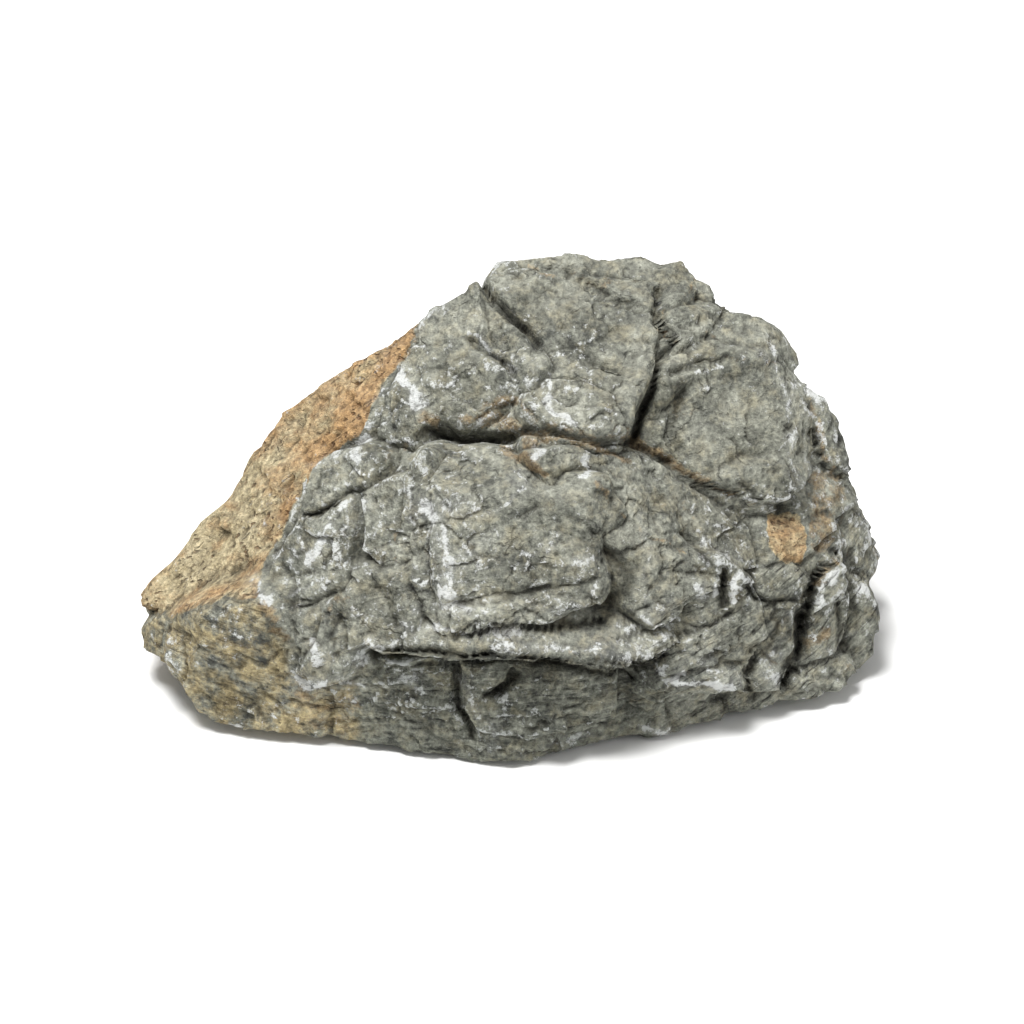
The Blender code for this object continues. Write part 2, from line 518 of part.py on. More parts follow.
def crack_depth(points, axes):
    """How deep the cracks of the front cut into the surface at points of it."""
    seen = points @ axes.T
    wander = [noise(points, CRACK_WANDER_SIZE, seed) for seed in (91, 92)]
    flat = seen[:, :2] + CRACK_WANDER * np.stack(wander, 1)
    depth = np.zeros(len(points))
    front = seen[:, 2] > CRACK_BACK
    for path, width, deep in CRACKS:
        d = path_distance(flat[front], path)
        depth[front] = np.maximum(depth[front], deep * np.exp(-(d / width) ** CRACK_SHARPNESS))
    return depth


def outline_exit(rays, axes):
    """How far rays from the heart go before they leave the rock's outline in the front view."""
    flat = rays @ axes[:2].T
    length = np.maximum(np.linalg.norm(flat, axis=1), 1e-6)
    d = flat / length[:, None]
    corners = np.array(OUTLINE) - axes[:2] @ HEART
    reach = np.full(len(rays), 1e9)
    for p, q in zip(corners, np.roll(corners, -1, 0)):
        e = q - p
        turn = d[:, 0] * e[1] - d[:, 1] * e[0]
        turn = np.where(np.abs(turn) < 1e-9, 1e-9, turn)
        t = (p[0] * e[1] - p[1] * e[0]) / turn
        u = (p[0] * d[:, 1] - p[1] * d[:, 0]) / turn
        hit = (t > 0) & (u > -1e-6) & (u < 1 + 1e-6)
        reach = np.where(hit, np.minimum(reach, t), reach)
    return reach / length


def underside_exit(rays, best):
    """The given distances, cut off by the underside, and down to the ground all over the flat spot."""
    down = np.minimum(rays[:, 2], -1e-3)
    ground = np.where(rays[:, 2] < -1e-3, -HEART[2] / down, 1e3)
    normals, rooms = underside_planes()
    under = plane_exit(rays, normals, rooms, EDGE_ROUNDING)
    resting = (under > ground) & (ground < 1e3)
    uneven = 1 + rough(rays * WARP_RADIUS, LUMP_SIZE, 2, 63)
    under = under - UNDERSIDE_WEAR * np.clip(ground - under, 0, 2) * uneven
    return np.where(resting, ground, np.minimum(best, under))


def rock_distance(rays, core, axes):
    """How far the rock's surface is from its heart along each ray."""
    waves = np.stack([rough(rays * WARP_RADIUS, WARP_SIZE, 2, 5 + k) for k in range(3)], 1)
    bent = rays + waves * WARP_SHARE
    bent /= np.linalg.norm(bent, axis=1)[:, None]
    base = plane_exit(bent, core[0], core[1], EDGE_ROUNDING * 2)
    weight = np.full(len(rays), FILL_FLOOR)
    filled = base * FILL_FLOOR
    best = np.zeros(len(rays))
    second = np.zeros(len(rays))
    for item in BLOCKS:
        t, face, gap = block_exit(bent, item)
        share = np.exp(-np.maximum(gap, 0) / FILL_SPREAD)
        weight += share
        filled += share * face
        second = np.maximum(second, np.minimum(t, best))
        best = np.maximum(best, t)
    sunk = np.clip((rays[:, 2] - FILL_FULL_SLOPE) / FILL_SLOPE_FADE, 0, 1)
    fill = filled / weight - FILL_DEPTH * sunk
    second = np.maximum(second, np.minimum(fill, best))
    best = np.maximum(best, fill)
    strength = np.clip(noise(rays * best[:, None], SEAM_PATCH, 77) + 0.5, 0, 1)
    uneven = SEAM_LEAST + (1 - SEAM_LEAST) * strength
    best = best - SEAM_DEPTH * uneven * np.exp(-(best - second) / SEAM_WIDTH)
    best = best - crack_depth(HEART + bent * best[:, None], axes)
    best = np.minimum(best, outline_exit(rays, axes))
    points = HEART + rays * best[:, None]
    best = best + LUMP_HEIGHT * rough(points, LUMP_SIZE, 2, 31)
    best = best + BREAK_HEIGHT * breaks(break_places(points), BREAK_SIZE, 31)
    return underside_exit(rays, best)


def neighbour_mean(points, edges, count):
    """The mean of the points that each point shares an edge with."""
    total = np.zeros_like(points)
    for k in range(3):
        total[:, k] += np.bincount(edges[:, 0], points[edges[:, 1], k], len(points))
        total[:, k] += np.bincount(edges[:, 1], points[edges[:, 0], k], len(points))
    return total / count[:, None]


def surface_points(rays, edges, core, axes):
    """Points of the surface, evenly spread also where it is steep, with its corners worn a little."""
    count = np.bincount(edges.ravel(), minlength=len(rays))
    for _ in range(RELAX_STEPS):
        points = rays * rock_distance(rays, core, axes)[:, None]
        moved = 0.5 * points + 0.5 * neighbour_mean(points, edges, count)
        rays = moved / np.linalg.norm(moved, axis=1)[:, None]
    points = HEART + rays * rock_distance(rays, core, axes)[:, None]
    resting = points[:, 2] < 1e-6
    for _ in range(SMOOTH_STEPS):
        points = 0.5 * points + 0.5 * neighbour_mean(points, edges, count)
    points[resting, 2] = 0.0
    return points


def core_planes(axes):
    """Normals and distances of the planes that close the rock below its blocks."""
    planes = [leaning_plane(face, axes) for face in FRONT_PLANES]
    planes += [facing_plane(plane) for plane in BACK_PLANES]
    normals, rooms = underside_planes()
    normals = np.concatenate([np.array([p[0] for p in planes]), normals])
    return normals, np.concatenate([np.array([p[1] for p in planes]), rooms])


def clear_scene():
    """Removes the objects and meshes that the file starts with."""
    for item in list(bpy.data.objects):
        bpy.data.objects.remove(item, do_unlink=True)
    for mesh in list(bpy.data.meshes):
        bpy.data.meshes.remove(mesh)


def stone_material():
    """Grey limestone."""
    material = bpy.data.materials.new("limestone")
    material.use_nodes = True
    shader = material.node_tree.nodes["Principled BSDF"]
    shader.inputs["Base Color"].default_value = (0.22, 0.22, 0.19, 1.0)
    shader.inputs["Roughness"].default_value = 0.85
    shader.inputs["Metallic"].default_value = 0.0
    return material


def build_rock():
    """The rock as one object with its surface thinned out to flat faces."""
    axes = view_axes(0.0, FRONT_VIEW_ELEVATION)
    core = core_planes(axes)
    for number, chunk in enumerate(CHUNKS):
        chunk_block(number, chunk, core)
    for item in BLOCKS:
        prepare(item)

    mesh = bpy.data.meshes.new("rock")
    ball = bmesh.new()
    bmesh.ops.create_icosphere(ball, subdivisions=SPHERE_SUBDIVISIONS, radius=1.0)
    ball.to_mesh(mesh)
    ball.free()

    rays = np.empty(len(mesh.vertices) * 3)
    mesh.vertices.foreach_get("co", rays)
    rays = rays.reshape(-1, 3)
    edges = np.empty(len(mesh.edges) * 2, dtype=np.int32)
    mesh.edges.foreach_get("vertices", edges)
    points = surface_points(rays, edges.reshape(-1, 2), core, axes)
    mesh.vertices.foreach_set("co", (points * MM).ravel())
    mesh.update()

    rock = bpy.data.objects.new("rock", mesh)
    collection = bpy.data.collections.new("rock")
    bpy.context.scene.collection.children.link(collection)
    collection.objects.link(rock)
    mesh.materials.append(stone_material())
    thin = rock.modifiers.new("thin out", "DECIMATE")
    thin.decimate_type = "COLLAPSE"
    thin.ratio = FACE_BUDGET / len(mesh.polygons)
    bpy.context.view_layer.objects.active = rock
    bpy.ops.object.modifier_apply(modifier=thin.name)
    for vertex in mesh.vertices:
        if vertex.co.z < FLAT_SPOT_SLACK * MM:
            vertex.co.z = 0.0
    return rock


def main():
    clear_scene()
    build_rock()


main()
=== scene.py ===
import math

import bpy
import numpy as np
from bpy.props import FloatProperty, FloatVectorProperty, IntProperty, PointerProperty
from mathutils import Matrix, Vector


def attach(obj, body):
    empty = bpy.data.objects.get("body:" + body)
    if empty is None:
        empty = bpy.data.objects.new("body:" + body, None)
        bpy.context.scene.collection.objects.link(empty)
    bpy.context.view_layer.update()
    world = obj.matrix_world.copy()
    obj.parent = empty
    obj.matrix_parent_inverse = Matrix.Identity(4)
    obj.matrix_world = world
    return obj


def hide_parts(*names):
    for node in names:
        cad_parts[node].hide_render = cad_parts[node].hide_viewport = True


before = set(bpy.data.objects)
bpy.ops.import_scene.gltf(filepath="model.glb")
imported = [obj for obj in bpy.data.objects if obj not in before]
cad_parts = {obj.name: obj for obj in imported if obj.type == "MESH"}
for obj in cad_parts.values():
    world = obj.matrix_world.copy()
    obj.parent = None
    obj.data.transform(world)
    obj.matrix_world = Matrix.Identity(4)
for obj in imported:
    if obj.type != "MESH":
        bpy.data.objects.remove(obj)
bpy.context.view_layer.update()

# A pagoda rock: one grey limestone boulder of stacked ledges, blocks and cracks, with an ochre
# flank. Shapes are worked out in millimetres from the rock's heart and made into metres at the end.

bl_info = {
    "name": "Pagoda rock",
    "version": (1, 0, 0),
    "blender": (4, 5, 0),
    "location": "3D View > Sidebar > Rock",
    "description": "A ledged limestone boulder with its stone finish, and a plain studio",
    "category": "Add Mesh",
}

MM = 0.001

HEART = np.array([0.0, 4.0, 42.0])      # the point inside the rock that all rays start from
FRONT_VIEW_ELEVATION = 33.0             # degrees that the front view looks down by
FLAT_SPOT_WIDTH = 96.0                  # the flat spot that the rock rests on, along X
FLAT_SPOT_DEPTH = 68.0                  # the same along Y
FLAT_SPOT_CENTRE_Y = -8.0
FLAT_SPOT_CORNERS = 10
UNDERSIDE_RISE = 5.5                    # degrees that the underside rises outside of the flat spot
UNDERSIDE_WEAR = 0.6                    # how uneven that part of the underside is
EDGE_ROUNDING = 0.35
BEVEL_DISTANCE = 45.0                   # about how far a block's edges are from the heart
FILL_DEPTH = 3.0                        # how far the rock between the blocks lies below their faces
FILL_SPREAD = 0.06                      # how far a block's face shapes the rock round it
FILL_FLOOR = 0.02                       # the share that the closing planes have in that rock
FILL_FULL_SLOPE = -0.66                 # rays that point down more than this meet no such depth
FILL_SLOPE_FADE = 0.17
SEAM_DEPTH = 1.7                        # groove where two blocks meet
SEAM_WIDTH = 0.8
SEAM_LEAST = 0.45                       # the share of its depth that a seam keeps where it is weak
SEAM_PATCH = 14.0                       # size of the stretches in which it is weak or strong
WARP_SIZE = 13.0                        # size of the waves in the edges of the blocks
WARP_SHARE = 0.022                      # how far they go, as a share of the distance to the heart
WARP_RADIUS = 60.0                      # the ball round the heart that they are read on
LUMP_SIZE = 10.0                        # size of the lumps in the faces
LUMP_HEIGHT = 0.4
BREAK_SIZE = 11.0                       # size of the flat breaks that the faces are made of
BREAK_HEIGHT = 0.8
BREAK_LEAN = 1.3                        # how steep a break can be
BREAK_WANDER = 1.1                      # how far the breaks' borders stray
BREAK_WANDER_SIZE = 4.0
BREAK_SQUASH = 1.5                      # the breaks are wider than high by this much
RELAX_STEPS = 6
STEEP_SMOOTH_STEPS = 3                  # smooths the steep sides of gaps, where the grid is stretched
STEEP_SMOOTH_SHARE = 0.6                # how far a point moves towards its neighbours in a step
CHIP_STEPS = 6                          # smoothing steps that tell where an edge can be chipped
SMALL_STEPS = 2                         # the same for small, middle and broad hollows and edges
MIDDLE_STEPS = 8
BROAD_STEPS = 40
GROUND_SLACK = 1e-6                     # points this low lie on the ground
RELIEF_SINK = 0.3                       # takes the mean of the small shapes back to the solid's surface
BLOCK_MARGIN = 1.03                     # how far past its farthest corner a block can reach
NEAR_CELLS = [(x, y, z) for x in (-1, 0, 1) for y in (-1, 0, 1) for z in (-1, 0, 1)]

# The planes that close the rock below its blocks. Front ones: a point and a lean in the front view,
# as a, c and w (to the right, up and towards the viewer), then how w grows to the right and upwards.
FRONT_PLANES = [
    (0, -26.5, 43.2, 0.22, 0.66),
    (0, -26.5, 43.2, -0.40, 0.66),
    (0, 15, 58.0, 0.32, 0.19),
    (0, 15, 58.0, -0.40, 0.0),
    (-33, 52, 47.5, 0.93, -0.51),
    (0, 60, 51.5, 0.25, -0.50),
    (30, 60, 49.0, -0.28, -0.5),
    (62, 45, 38, -1.2, -0.35),
]
# Back ones: a point as X, Y and Z, then the azimuth and the elevation that the plane faces.
BACK_PLANES = [
    (15, 20, 93, 180, 38),
    (0, 52, 10, 180, 5),
    (30, 46, 20, 150, 10),
    (-58, 3, 53, -145, 32),
    (-24, 1, 86, -160, 42),
    (-30, 42, 10, -150, 8),
    (66, 15, 67, 125, 38),
    (45, 20, 80, 150, 45),
    (86, -5, 15, 100, 14),
    (80, 15, 10, 125, 6),
    (-86, -8, 15, -100, 8),
    (-75, 20, 10, -125, 8),
    (0, 0, 97, 0, 84),
    (-78, -20, 10, -75, -34),
    (80, -12, 2, 75, -30),
]

# The rock's outline in the front view.
OUTLINE = [
    (-86.5, 12), (-83, 16), (-77, 21), (-73, 28), (-65, 34), (-62, 41), (-56, 50), (-52, 54),
    (-42, 61), (-36, 65), (-27, 69), (-24, 72), (-18, 78), (-12, 81), (-6, 85), (-3, 89.5),
    (3, 89.5), (12, 91), (22, 89.5), (31, 90), (36, 88.5), (40, 89), (43, 85), (46.5, 83.5),
    (47, 79), (50, 76.5), (57, 76), (63, 72), (67, 67), (68, 60.5), (73, 57.5), (76.5, 50),
    (79, 42), (81, 36), (83.5, 28), (87, 21), (86.5, 17), (83.5, 14), (86.5, 9), (86, 3),
    (84, -4), (78, -10), (72, -14), (62, -13), (55, -16.5), (36, -20.5), (14, -22.5), (5, -26.5),
    (-6, -27.5), (-18, -25), (-36, -22), (-50, -20.5), (-67, -20), (-73, -14), (-80, -3.5),
    (-85, -0.5), (-85.5, 6),
]

# The cracks of the front: their course in the front view, their width and their depth.
CRACKS = [
    ([(-21, 48), (-17, 49.4), (-9, 48.2), (1, 48.6)], 1.3, 4.5),
    ([(1, 49.6), (11, 49.4), (20, 47.2), (28, 47.2)], 1.2, 3.0),
    ([(28, 47.2), (33, 44), (44, 37.4), (55, 33.4), (65, 32)], 1.0, 2.2),
    ([(-4.6, 81), (-2.4, 78.4), (0.6, 75.6), (3.7, 72.4), (6.6, 69.6)], 1.1, 3.0),
    ([(34, 82), (34, 76), (38, 71), (37, 70), (34.5, 66.5), (34, 62), (31, 56), (28.5, 48)], 1.1, 3.4),
    ([(13, 86.5), (20, 83.4), (24.5, 79.6), (30, 78.6)], 0.9, 1.8),
    ([(-9, 71), (-3, 66.5), (4, 62)], 0.9, 1.6),
    ([(36, 63), (43, 65), (51, 66.2)], 0.9, 2.0),
    ([(39, 62), (39.5, 56), (37.5, 50), (40, 44)], 0.9, 1.8),
    ([(41, 26), (44, 21), (47, 18.6)], 1.0, 2.2),
    ([(-36, 36), (-40, 33), (-45, 30.4)], 0.9, 2.0),
    ([(-35, 36), (-35, 28), (-35.6, 20)], 1.2, 2.2),
    ([(-47, 8), (-42, 11), (-38, 15)], 1.0, 1.8),
    ([(-57, 9), (-54, 5.5), (-52, 3)], 0.9, 1.6),
    ([(-3.5, -11), (-1, -9.5), (1, -6)], 1.2, 2.6),
    ([(-12, -5), (-12, -13), (-8, -20)], 1.0, 2.2),
    ([(27, -15), (31, -12.5)], 1.1, 1.8),
    ([(23, 20.5), (27, 17), (27, 13), (23, 11)], 2.2, 2.4),
    ([(0, 11.2), (9, 14)], 0.8, 1.4),
    ([(-2, 46), (4, 43), (9, 39.6)], 0.8, 1.2),
]
CRACK_WANDER = 0.6      # how far a crack strays from its course
CRACK_WANDER_SIZE = 5.0
CRACK_BACK = 12.0       # the least w at which a crack of the front can lie
CRACK_NARROWING = 0.85  # the share of its width that a crack has in this surface
CRACK_SHARPNESS = 1.5   # 1 for sides like a blade's, 2 for a round bottom
FINE_CRACK_SHARPNESS = 1.3

# Finer cracks, some of them along the ones above: course in the front view, width and depth.
FINE_CRACKS = [
    ([(-31.5, -1.2), (-27, -1.3), (-20, -0.9), (-13, -1.8), (-4, -2.2)], 0.9, 5.0),
    ([(-5.4, 82.2), (-3.2, 79.7), (0.6, 75.5), (3.7, 72.4)], 0.9, 3.4),
    ([(-9, 70), (-3, 65.6), (1, 62.6)], 0.7, 2.0),
    ([(-19.4, 50.4), (-15, 48.4), (-8, 47.6), (-0.2, 48)], 0.8, 3.0),
    ([(-7.8, 52), (-3, 54.6), (2.4, 55.4)], 0.6, 1.0),
    ([(3.7, 54.3), (7.5, 51.2), (12, 48)], 0.8, 1.0),
    ([(18, 66.6), (21, 64.4), (24, 62.6)], 1.3, 1.2),
    ([(34, 82), (33.6, 76), (35.6, 71.4), (37, 69.6), (34.6, 66.4)], 0.7, 2.4),
    ([(34, 64), (32.6, 58), (30.6, 53), (29, 48)], 0.9, 4.0),
    ([(13, 86.2), (19.6, 83), (24.5, 79.6), (29, 78.8)], 0.6, 1.8),
    ([(37, 63.4), (42, 65.4), (50, 66.4)], 0.8, 1.8),
    ([(38.6, 61), (38.8, 56), (37.4, 50)], 0.8, 1.6),
    ([(30, 46), (36.6, 41.6), (44, 37.4), (52, 34.6)], 0.8, 2.0),
    ([(-36, 36), (-40, 33), (-45, 30.4)], 0.6, 2.0),
    ([(-12.6, -4), (-12, -12), (-8.6, -20)], 0.9, 2.6),
    ([(-5.6, -10.6), (-1.6, -8.6), (1.4, -6.4)], 1.0, 3.0),
    ([(-4, -2.2), (4, -2.8), (12, -3.4), (22, -5.2), (28, -6)], 0.7, 2.6),
    ([(20, -2.8), (26, -4), (32, -3.6), (36, -1.4)], 0.8, 2.2),
    ([(-8, 3.2), (0, 3.6), (8, 4.2), (14, 5.4), (20, 7.2)], 0.6, 1.8),
    ([(24, 2.0), (30, 3.4), (36, 7.0)], 0.6, 1.4),
    ([(26, 6.2), (31, 8.4), (35, 12.0)], 0.5, 1.0),
    ([(70.6, 16.2), (68.4, 11), (67.4, 6), (67.2, -0.4), (65.6, -5), (64.2, -9)], 0.95, 6.5),
    ([(75.6, 22), (74.4, 18.4), (70.6, 16.2)], 0.8, 3.6),
    ([(49.8, 17.6), (49.2, 13.6), (49.4, 10.4)], 1.0, 5.0),
    ([(54.4, 14), (57, 11), (60, 10.2), (65.6, 10.4)], 0.7, 3.0),
    ([(60.6, 10), (61.4, 5), (60.8, 1)], 0.6, 2.2),
    ([(76.8, 9.6), (76.4, 5), (77, -0.8)], 0.9, 3.6),
    ([(79, 22), (80.4, 17), (79.6, 13)], 0.7, 2.4),
    ([(70, 50), (71.6, 46), (73.4, 41.6), (75.8, 39.4)], 0.8, 4.0),
    ([(55, 17.4), (55.6, 13.6)], 0.6, 2.0),
    ([(50.6, 8), (46, 5.6), (40, 5)], 0.7, 2.0),
    ([(56, -2), (55, -7), (56.6, -12)], 0.7, 3.0),
    ([(47, -12.5), (50, -11.5)], 0.9, 2.2),
    ([(52.4, 36.8), (60, 32.4), (65.4, 31.6)], 0.7, 2.0),
    ([(2, 71), (5, 69.5), (9, 68.4)], 0.7, 0.8),
    ([(19, 65.5), (22, 63), (24, 61)], 1.0, 1.0),
    ([(13, 61), (18, 59.4)], 0.7, 0.7),
    ([(39, 71.5), (46, 72), (53, 69.6), (60, 69)], 0.7, 0.9),
    ([(45, 68), (50, 66.6)], 0.6, 0.7),
    ([(40, 82), (45, 79.6), (47, 79.4)], 0.7, 1.0),
    ([(41, 88), (42.5, 84), (41, 81)], 0.7, 1.0),
    ([(5, 86.6), (12, 87.4), (22, 85.4), (30, 84.6)], 0.7, 0.8),
    ([(52, 38.6), (58, 40.8), (64, 40.6)], 0.7, 0.8),
    ([(55, 36.5), (60, 34.6), (65, 35.2)], 0.6, 0.9),
    ([(56, 34.2), (61, 32.4), (65, 32.8)], 0.6, 0.9),
    ([(42, 22), (44, 26), (50, 27)], 0.6, 0.7),
    ([(42, 18.5), (45, 15.5), (47.5, 14.6)], 0.6, 0.8),
    ([(55, 17), (57.5, 20), (60, 22)], 0.7, 0.9),
    ([(48, 36), (47.6, 33), (50, 30)], 0.6, 0.7),
    ([(33, 11.5), (39, 8), (45, 6.8)], 0.7, 0.8),
    ([(34, -0.6), (39, 3.2), (43, 4.6)], 1.1, 1.6),
    ([(33, -3.5), (36, -1.2)], 1.3, 1.6),
    ([(43, 0.5), (46, -2), (50, -1)], 0.8, 1.0),
    ([(52, 3), (54, 7), (53, 12)], 0.6, 0.8),
    ([(57, 0), (60, -3), (63, -4.5)], 0.7, 1.0),
    ([(64, 9), (65, 4), (62, -1)], 0.6, 0.9),
    ([(72, -8), (76, -7), (79, -8.5)], 0.8, 1.1),
    ([(66, -11), (71, -10.5), (75, -11)], 0.8, 1.2),
    ([(80, 16), (79, 12), (80.5, 8)], 0.8, 1.2),
    ([(83, 19), (85, 20.5)], 0.7, 0.8),
    ([(71, 33), (76, 32.4)], 0.6, 0.9),
    ([(70, 31), (75, 30.4)], 0.6, 0.9),
    ([(-31, 14), (-28, 10), (-26, 5)], 0.8, 0.9),
    ([(-38, 8), (-41, 3), (-40, -3)], 0.9, 1.2),
    ([(-53, 4), (-51, 0), (-52, -3)], 0.9, 1.1),
    ([(-45, 36), (-43, 40)], 0.6, 0.7),
    ([(-52, 19), (-49, 16.6), (-44, 17)], 0.7, 0.9),
    ([(-50, 10.6), (-46, 10.4)], 0.7, 0.8),
    ([(-29, 58), (-24, 55), (-18, 56)], 0.6, 0.7),
    ([(-24, 63), (-16, 64), (-10, 62)], 0.7, 0.7),
    ([(-20, 20), (-22, 28), (-22, 36)], 0.6, 0.7),
    ([(-11, 9.6), (0, 10.8), (9, 13.6), (14, 14.6)], 0.8, 1.0),
    ([(2, 9.6), (9, 10.4)], 0.6, 0.7),
    ([(12, -14), (17, -12.4)], 0.8, 1.0),
    ([(5, -18.6), (8.5, -17.4)], 0.9, 1.2),
    ([(-28, -5), (-18, -4), (-9, -1.6)], 0.7, 1.0),
    ([(-36, -12), (-26, -15), (-18, -20)], 0.7, 0.8),
    ([(-66, -9), (-60, -12), (-56, -17)], 0.7, 0.7),
]

# Where the front is coloured: areas of the front view, and how far their edges fade.
FLANK_AREA = [(-90, 9.5), (-62, 52), (-21, 80), (-21.5, 74), (-24, 67), (-27, 63), (-30, 60),
              (-32, 56), (-33, 52), (-35, 49), (-39, 46), (-44, 43), (-46, 40.5), (-48, 36),
              (-50, 32), (-52, 28), (-54, 24), (-56, 20), (-58, 15), (-57, 11), (-65, 11.4),
              (-72, 9.2), (-78, 6.5)]
BULK_AREA = [(-90, 9), (-78, 6.5), (-72, 9.2), (-65, 11.4), (-57, 11), (-53, 3), (-51, -5),
             (-44, -9), (-36, -8), (-34, -16), (-37, -26), (-70, -26), (-90, -4)]
TAN_AREA = [(-50, -9), (-44, -9.5), (-37, -8), (-33, -13), (-36, -19), (-44, -19.5), (-52, -16)]
ORANGE_AREA = [(60.2, 30.4), (64, 30.8), (67.2, 29.6), (69, 25), (67.6, 19), (63, 19.6), (60, 23)]
GOLD_AREA = [(69, 40), (72, 41), (77.5, 39), (79, 35), (76, 31), (77, 27), (74, 22), (70, 20),
             (69, 25), (70, 31), (69, 35)]
# the low wall, which also gets painted shade
WALL_AREA = [(-34, -2), (-12, -1), (14, -3), (30, -5), (36, -10), (34, -19), (6, -30), (-12, -30),
             (-36, -24), (-36, -10)]

# White scuffs of the front, with a painted highlight along the boulder's lit left edge: course in the
# front view, half width and strength.
SCUFFS_AND_HIGHLIGHTS = [
    ([(-41.5, 28.5), (-44, 24.5), (-46, 19.5)], 1.5, 1.0),
    ([(-51, 11.8), (-46.5, 13), (-42, 16.4)], 1.1, 0.9),
    ([(-57.6, 16), (-57, 12), (-55.6, 9)], 0.9, 0.9),
    ([(-49, 7.4), (-44.5, 9.6)], 0.9, 0.7),
    ([(-44.5, 2), (-43.5, -3)], 1.5, 0.8),
    ([(-50, -6.2), (-47, -8.8), (-43, -8.4)], 1.4, 0.9),
    ([(-34, 47), (-34.6, 43.4)], 1.4, 0.9),
    ([(-46, 41.8), (-41, 44)], 0.9, 0.6),
    ([(-40, 43.6), (-36, 46)], 0.9, 0.5),
    ([(-34, 34), (-33.4, 29)], 0.7, 0.7),
    ([(-22.6, 35), (-21.6, 28)], 0.8, 0.7),
    # a painted highlight along the boulder's lit left edge, in these four strokes
    ([(-18.4, 33), (-16.2, 29), (-14.4, 24), (-13.4, 20)], 1.0, 0.8),
    ([(-14, 20), (-13.4, 14), (-13, 9)], 2.6, 0.62),
    ([(-12, 18), (-9, 22), (-5, 26)], 2.2, 0.4),
    ([(-14.6, 12), (-11, 9)], 2.4, 0.7),
    ([(-21.4, 9.4), (-17, 4.6), (-12, 3.4), (-5, 3.6), (3, 4.2)], 0.8, 0.9),
    ([(-18, 31.6), (-10, 29.6), (-4, 31.4), (0, 35), (3, 38)], 2.0, 0.55),
    ([(-24, 6), (-21.4, 4)], 1.1, 0.7),
    ([(-31.6, 1.2), (-29, 0.6)], 0.9, 0.9),
    ([(-8, 1.2), (0, 0.8), (8, 0.4), (14, -0.6), (20, -2), (27, -2.6), (32, -1.2)], 0.8, 0.65),
    ([(16, 0.6), (24, 0.4), (31, 3), (35, 6)], 1.6, 0.35),
    ([(24, 5), (30, 7), (36, 9.4)], 1.6, 0.4),
    ([(-10, 5.4), (0, 5.8), (10, 7.6), (18, 9.2)], 1.2, 0.35),
    ([(35, -7.6), (44, -8.2), (52, -9)], 0.9, 0.9),
    ([(36, -9), (38, -6), (40, -5)], 0.8, 0.8),
    ([(44, -3), (52, -5), (55, -7)], 3.0, 0.4),
    ([(42.6, 13.6), (45, 12)], 1.2, 0.8),
    ([(-26.4, 64), (-23.4, 61), (-21.4, 57.6)], 1.9, 0.95),
    ([(-32, 57), (-29, 59.6), (-26, 60)], 0.8, 0.6),
    ([(-19.6, 76), (-14, 80)], 1.7, 0.5),
    ([(-21.6, 71), (-20, 74)], 1.0, 0.6),
    ([(-8.6, 71.6), (-4, 67.6), (2, 63)], 1.0, 0.8),
    ([(8.6, 62), (8.6, 57.6), (11, 53.4), (15, 51.6)], 1.1, 0.9),
    ([(60.4, 71), (61.6, 66.6), (64, 60), (64.6, 54)], 1.6, 0.6),
    ([(65, 50), (65, 45), (64.6, 40), (67.4, 36)], 1.2, 0.6),
    ([(57, 68), (62, 65.4)], 1.8, 0.4),
    ([(64, 71), (67, 66), (66, 62)], 1.0, 0.5),
    ([(33, 80.6), (34.2, 78.6)], 0.8, 0.9),
    ([(29.4, 31), (31.4, 24), (31.2, 17), (30.6, 11)], 1.0, 0.35),
    ([(15.6, 19.4), (18.6, 19.6)], 0.9, 0.6),
    ([(11, 26), (9, 22)], 0.8, 0.5),
    ([(6, 46.2), (7, 44.4)], 0.9, 0.9),
    ([(17.4, 43.4), (17.8, 39.8)], 0.8, 0.8),
    ([(46, 24), (49, 21.4), (52, 20)], 0.9, 0.6),
    ([(57, -4), (63, -1)], 0.8, 0.6),
    ([(60, -6.6), (62.4, -9)], 1.2, 0.7),
    ([(66.2, 4), (65.4, 8)], 0.7, 0.7),
    ([(74, -6.4), (76, -8.6)], 0.9, 0.6),
    ([(30, -17.6), (36.4, -19.6)], 1.0, 0.9),
    ([(10, -22.4), (24, -20.8)], 0.8, 0.5),
    ([(-4, -18), (-3, -23), (2, -24)], 1.2, 0.6),
    ([(-12, -7), (-7, -16)], 0.8, 0.5),
    ([(-26, -8), (-18, -8.6)], 0.9, 0.6),
    ([(-39, -7), (-33, -9)], 1.1, 0.8),
    ([(-35, -3.6), (-33.8, -2.4)], 1.3, 0.9),
    ([(19, -8), (24, -13)], 1.0, 0.4),
    ([(71, -4), (76, -1.4), (79, 2)], 0.8, 0.5),
    ([(81, 31), (83, 27)], 0.8, 0.5),
    ([(68, 46), (70, 38)], 0.8, 0.5),
]
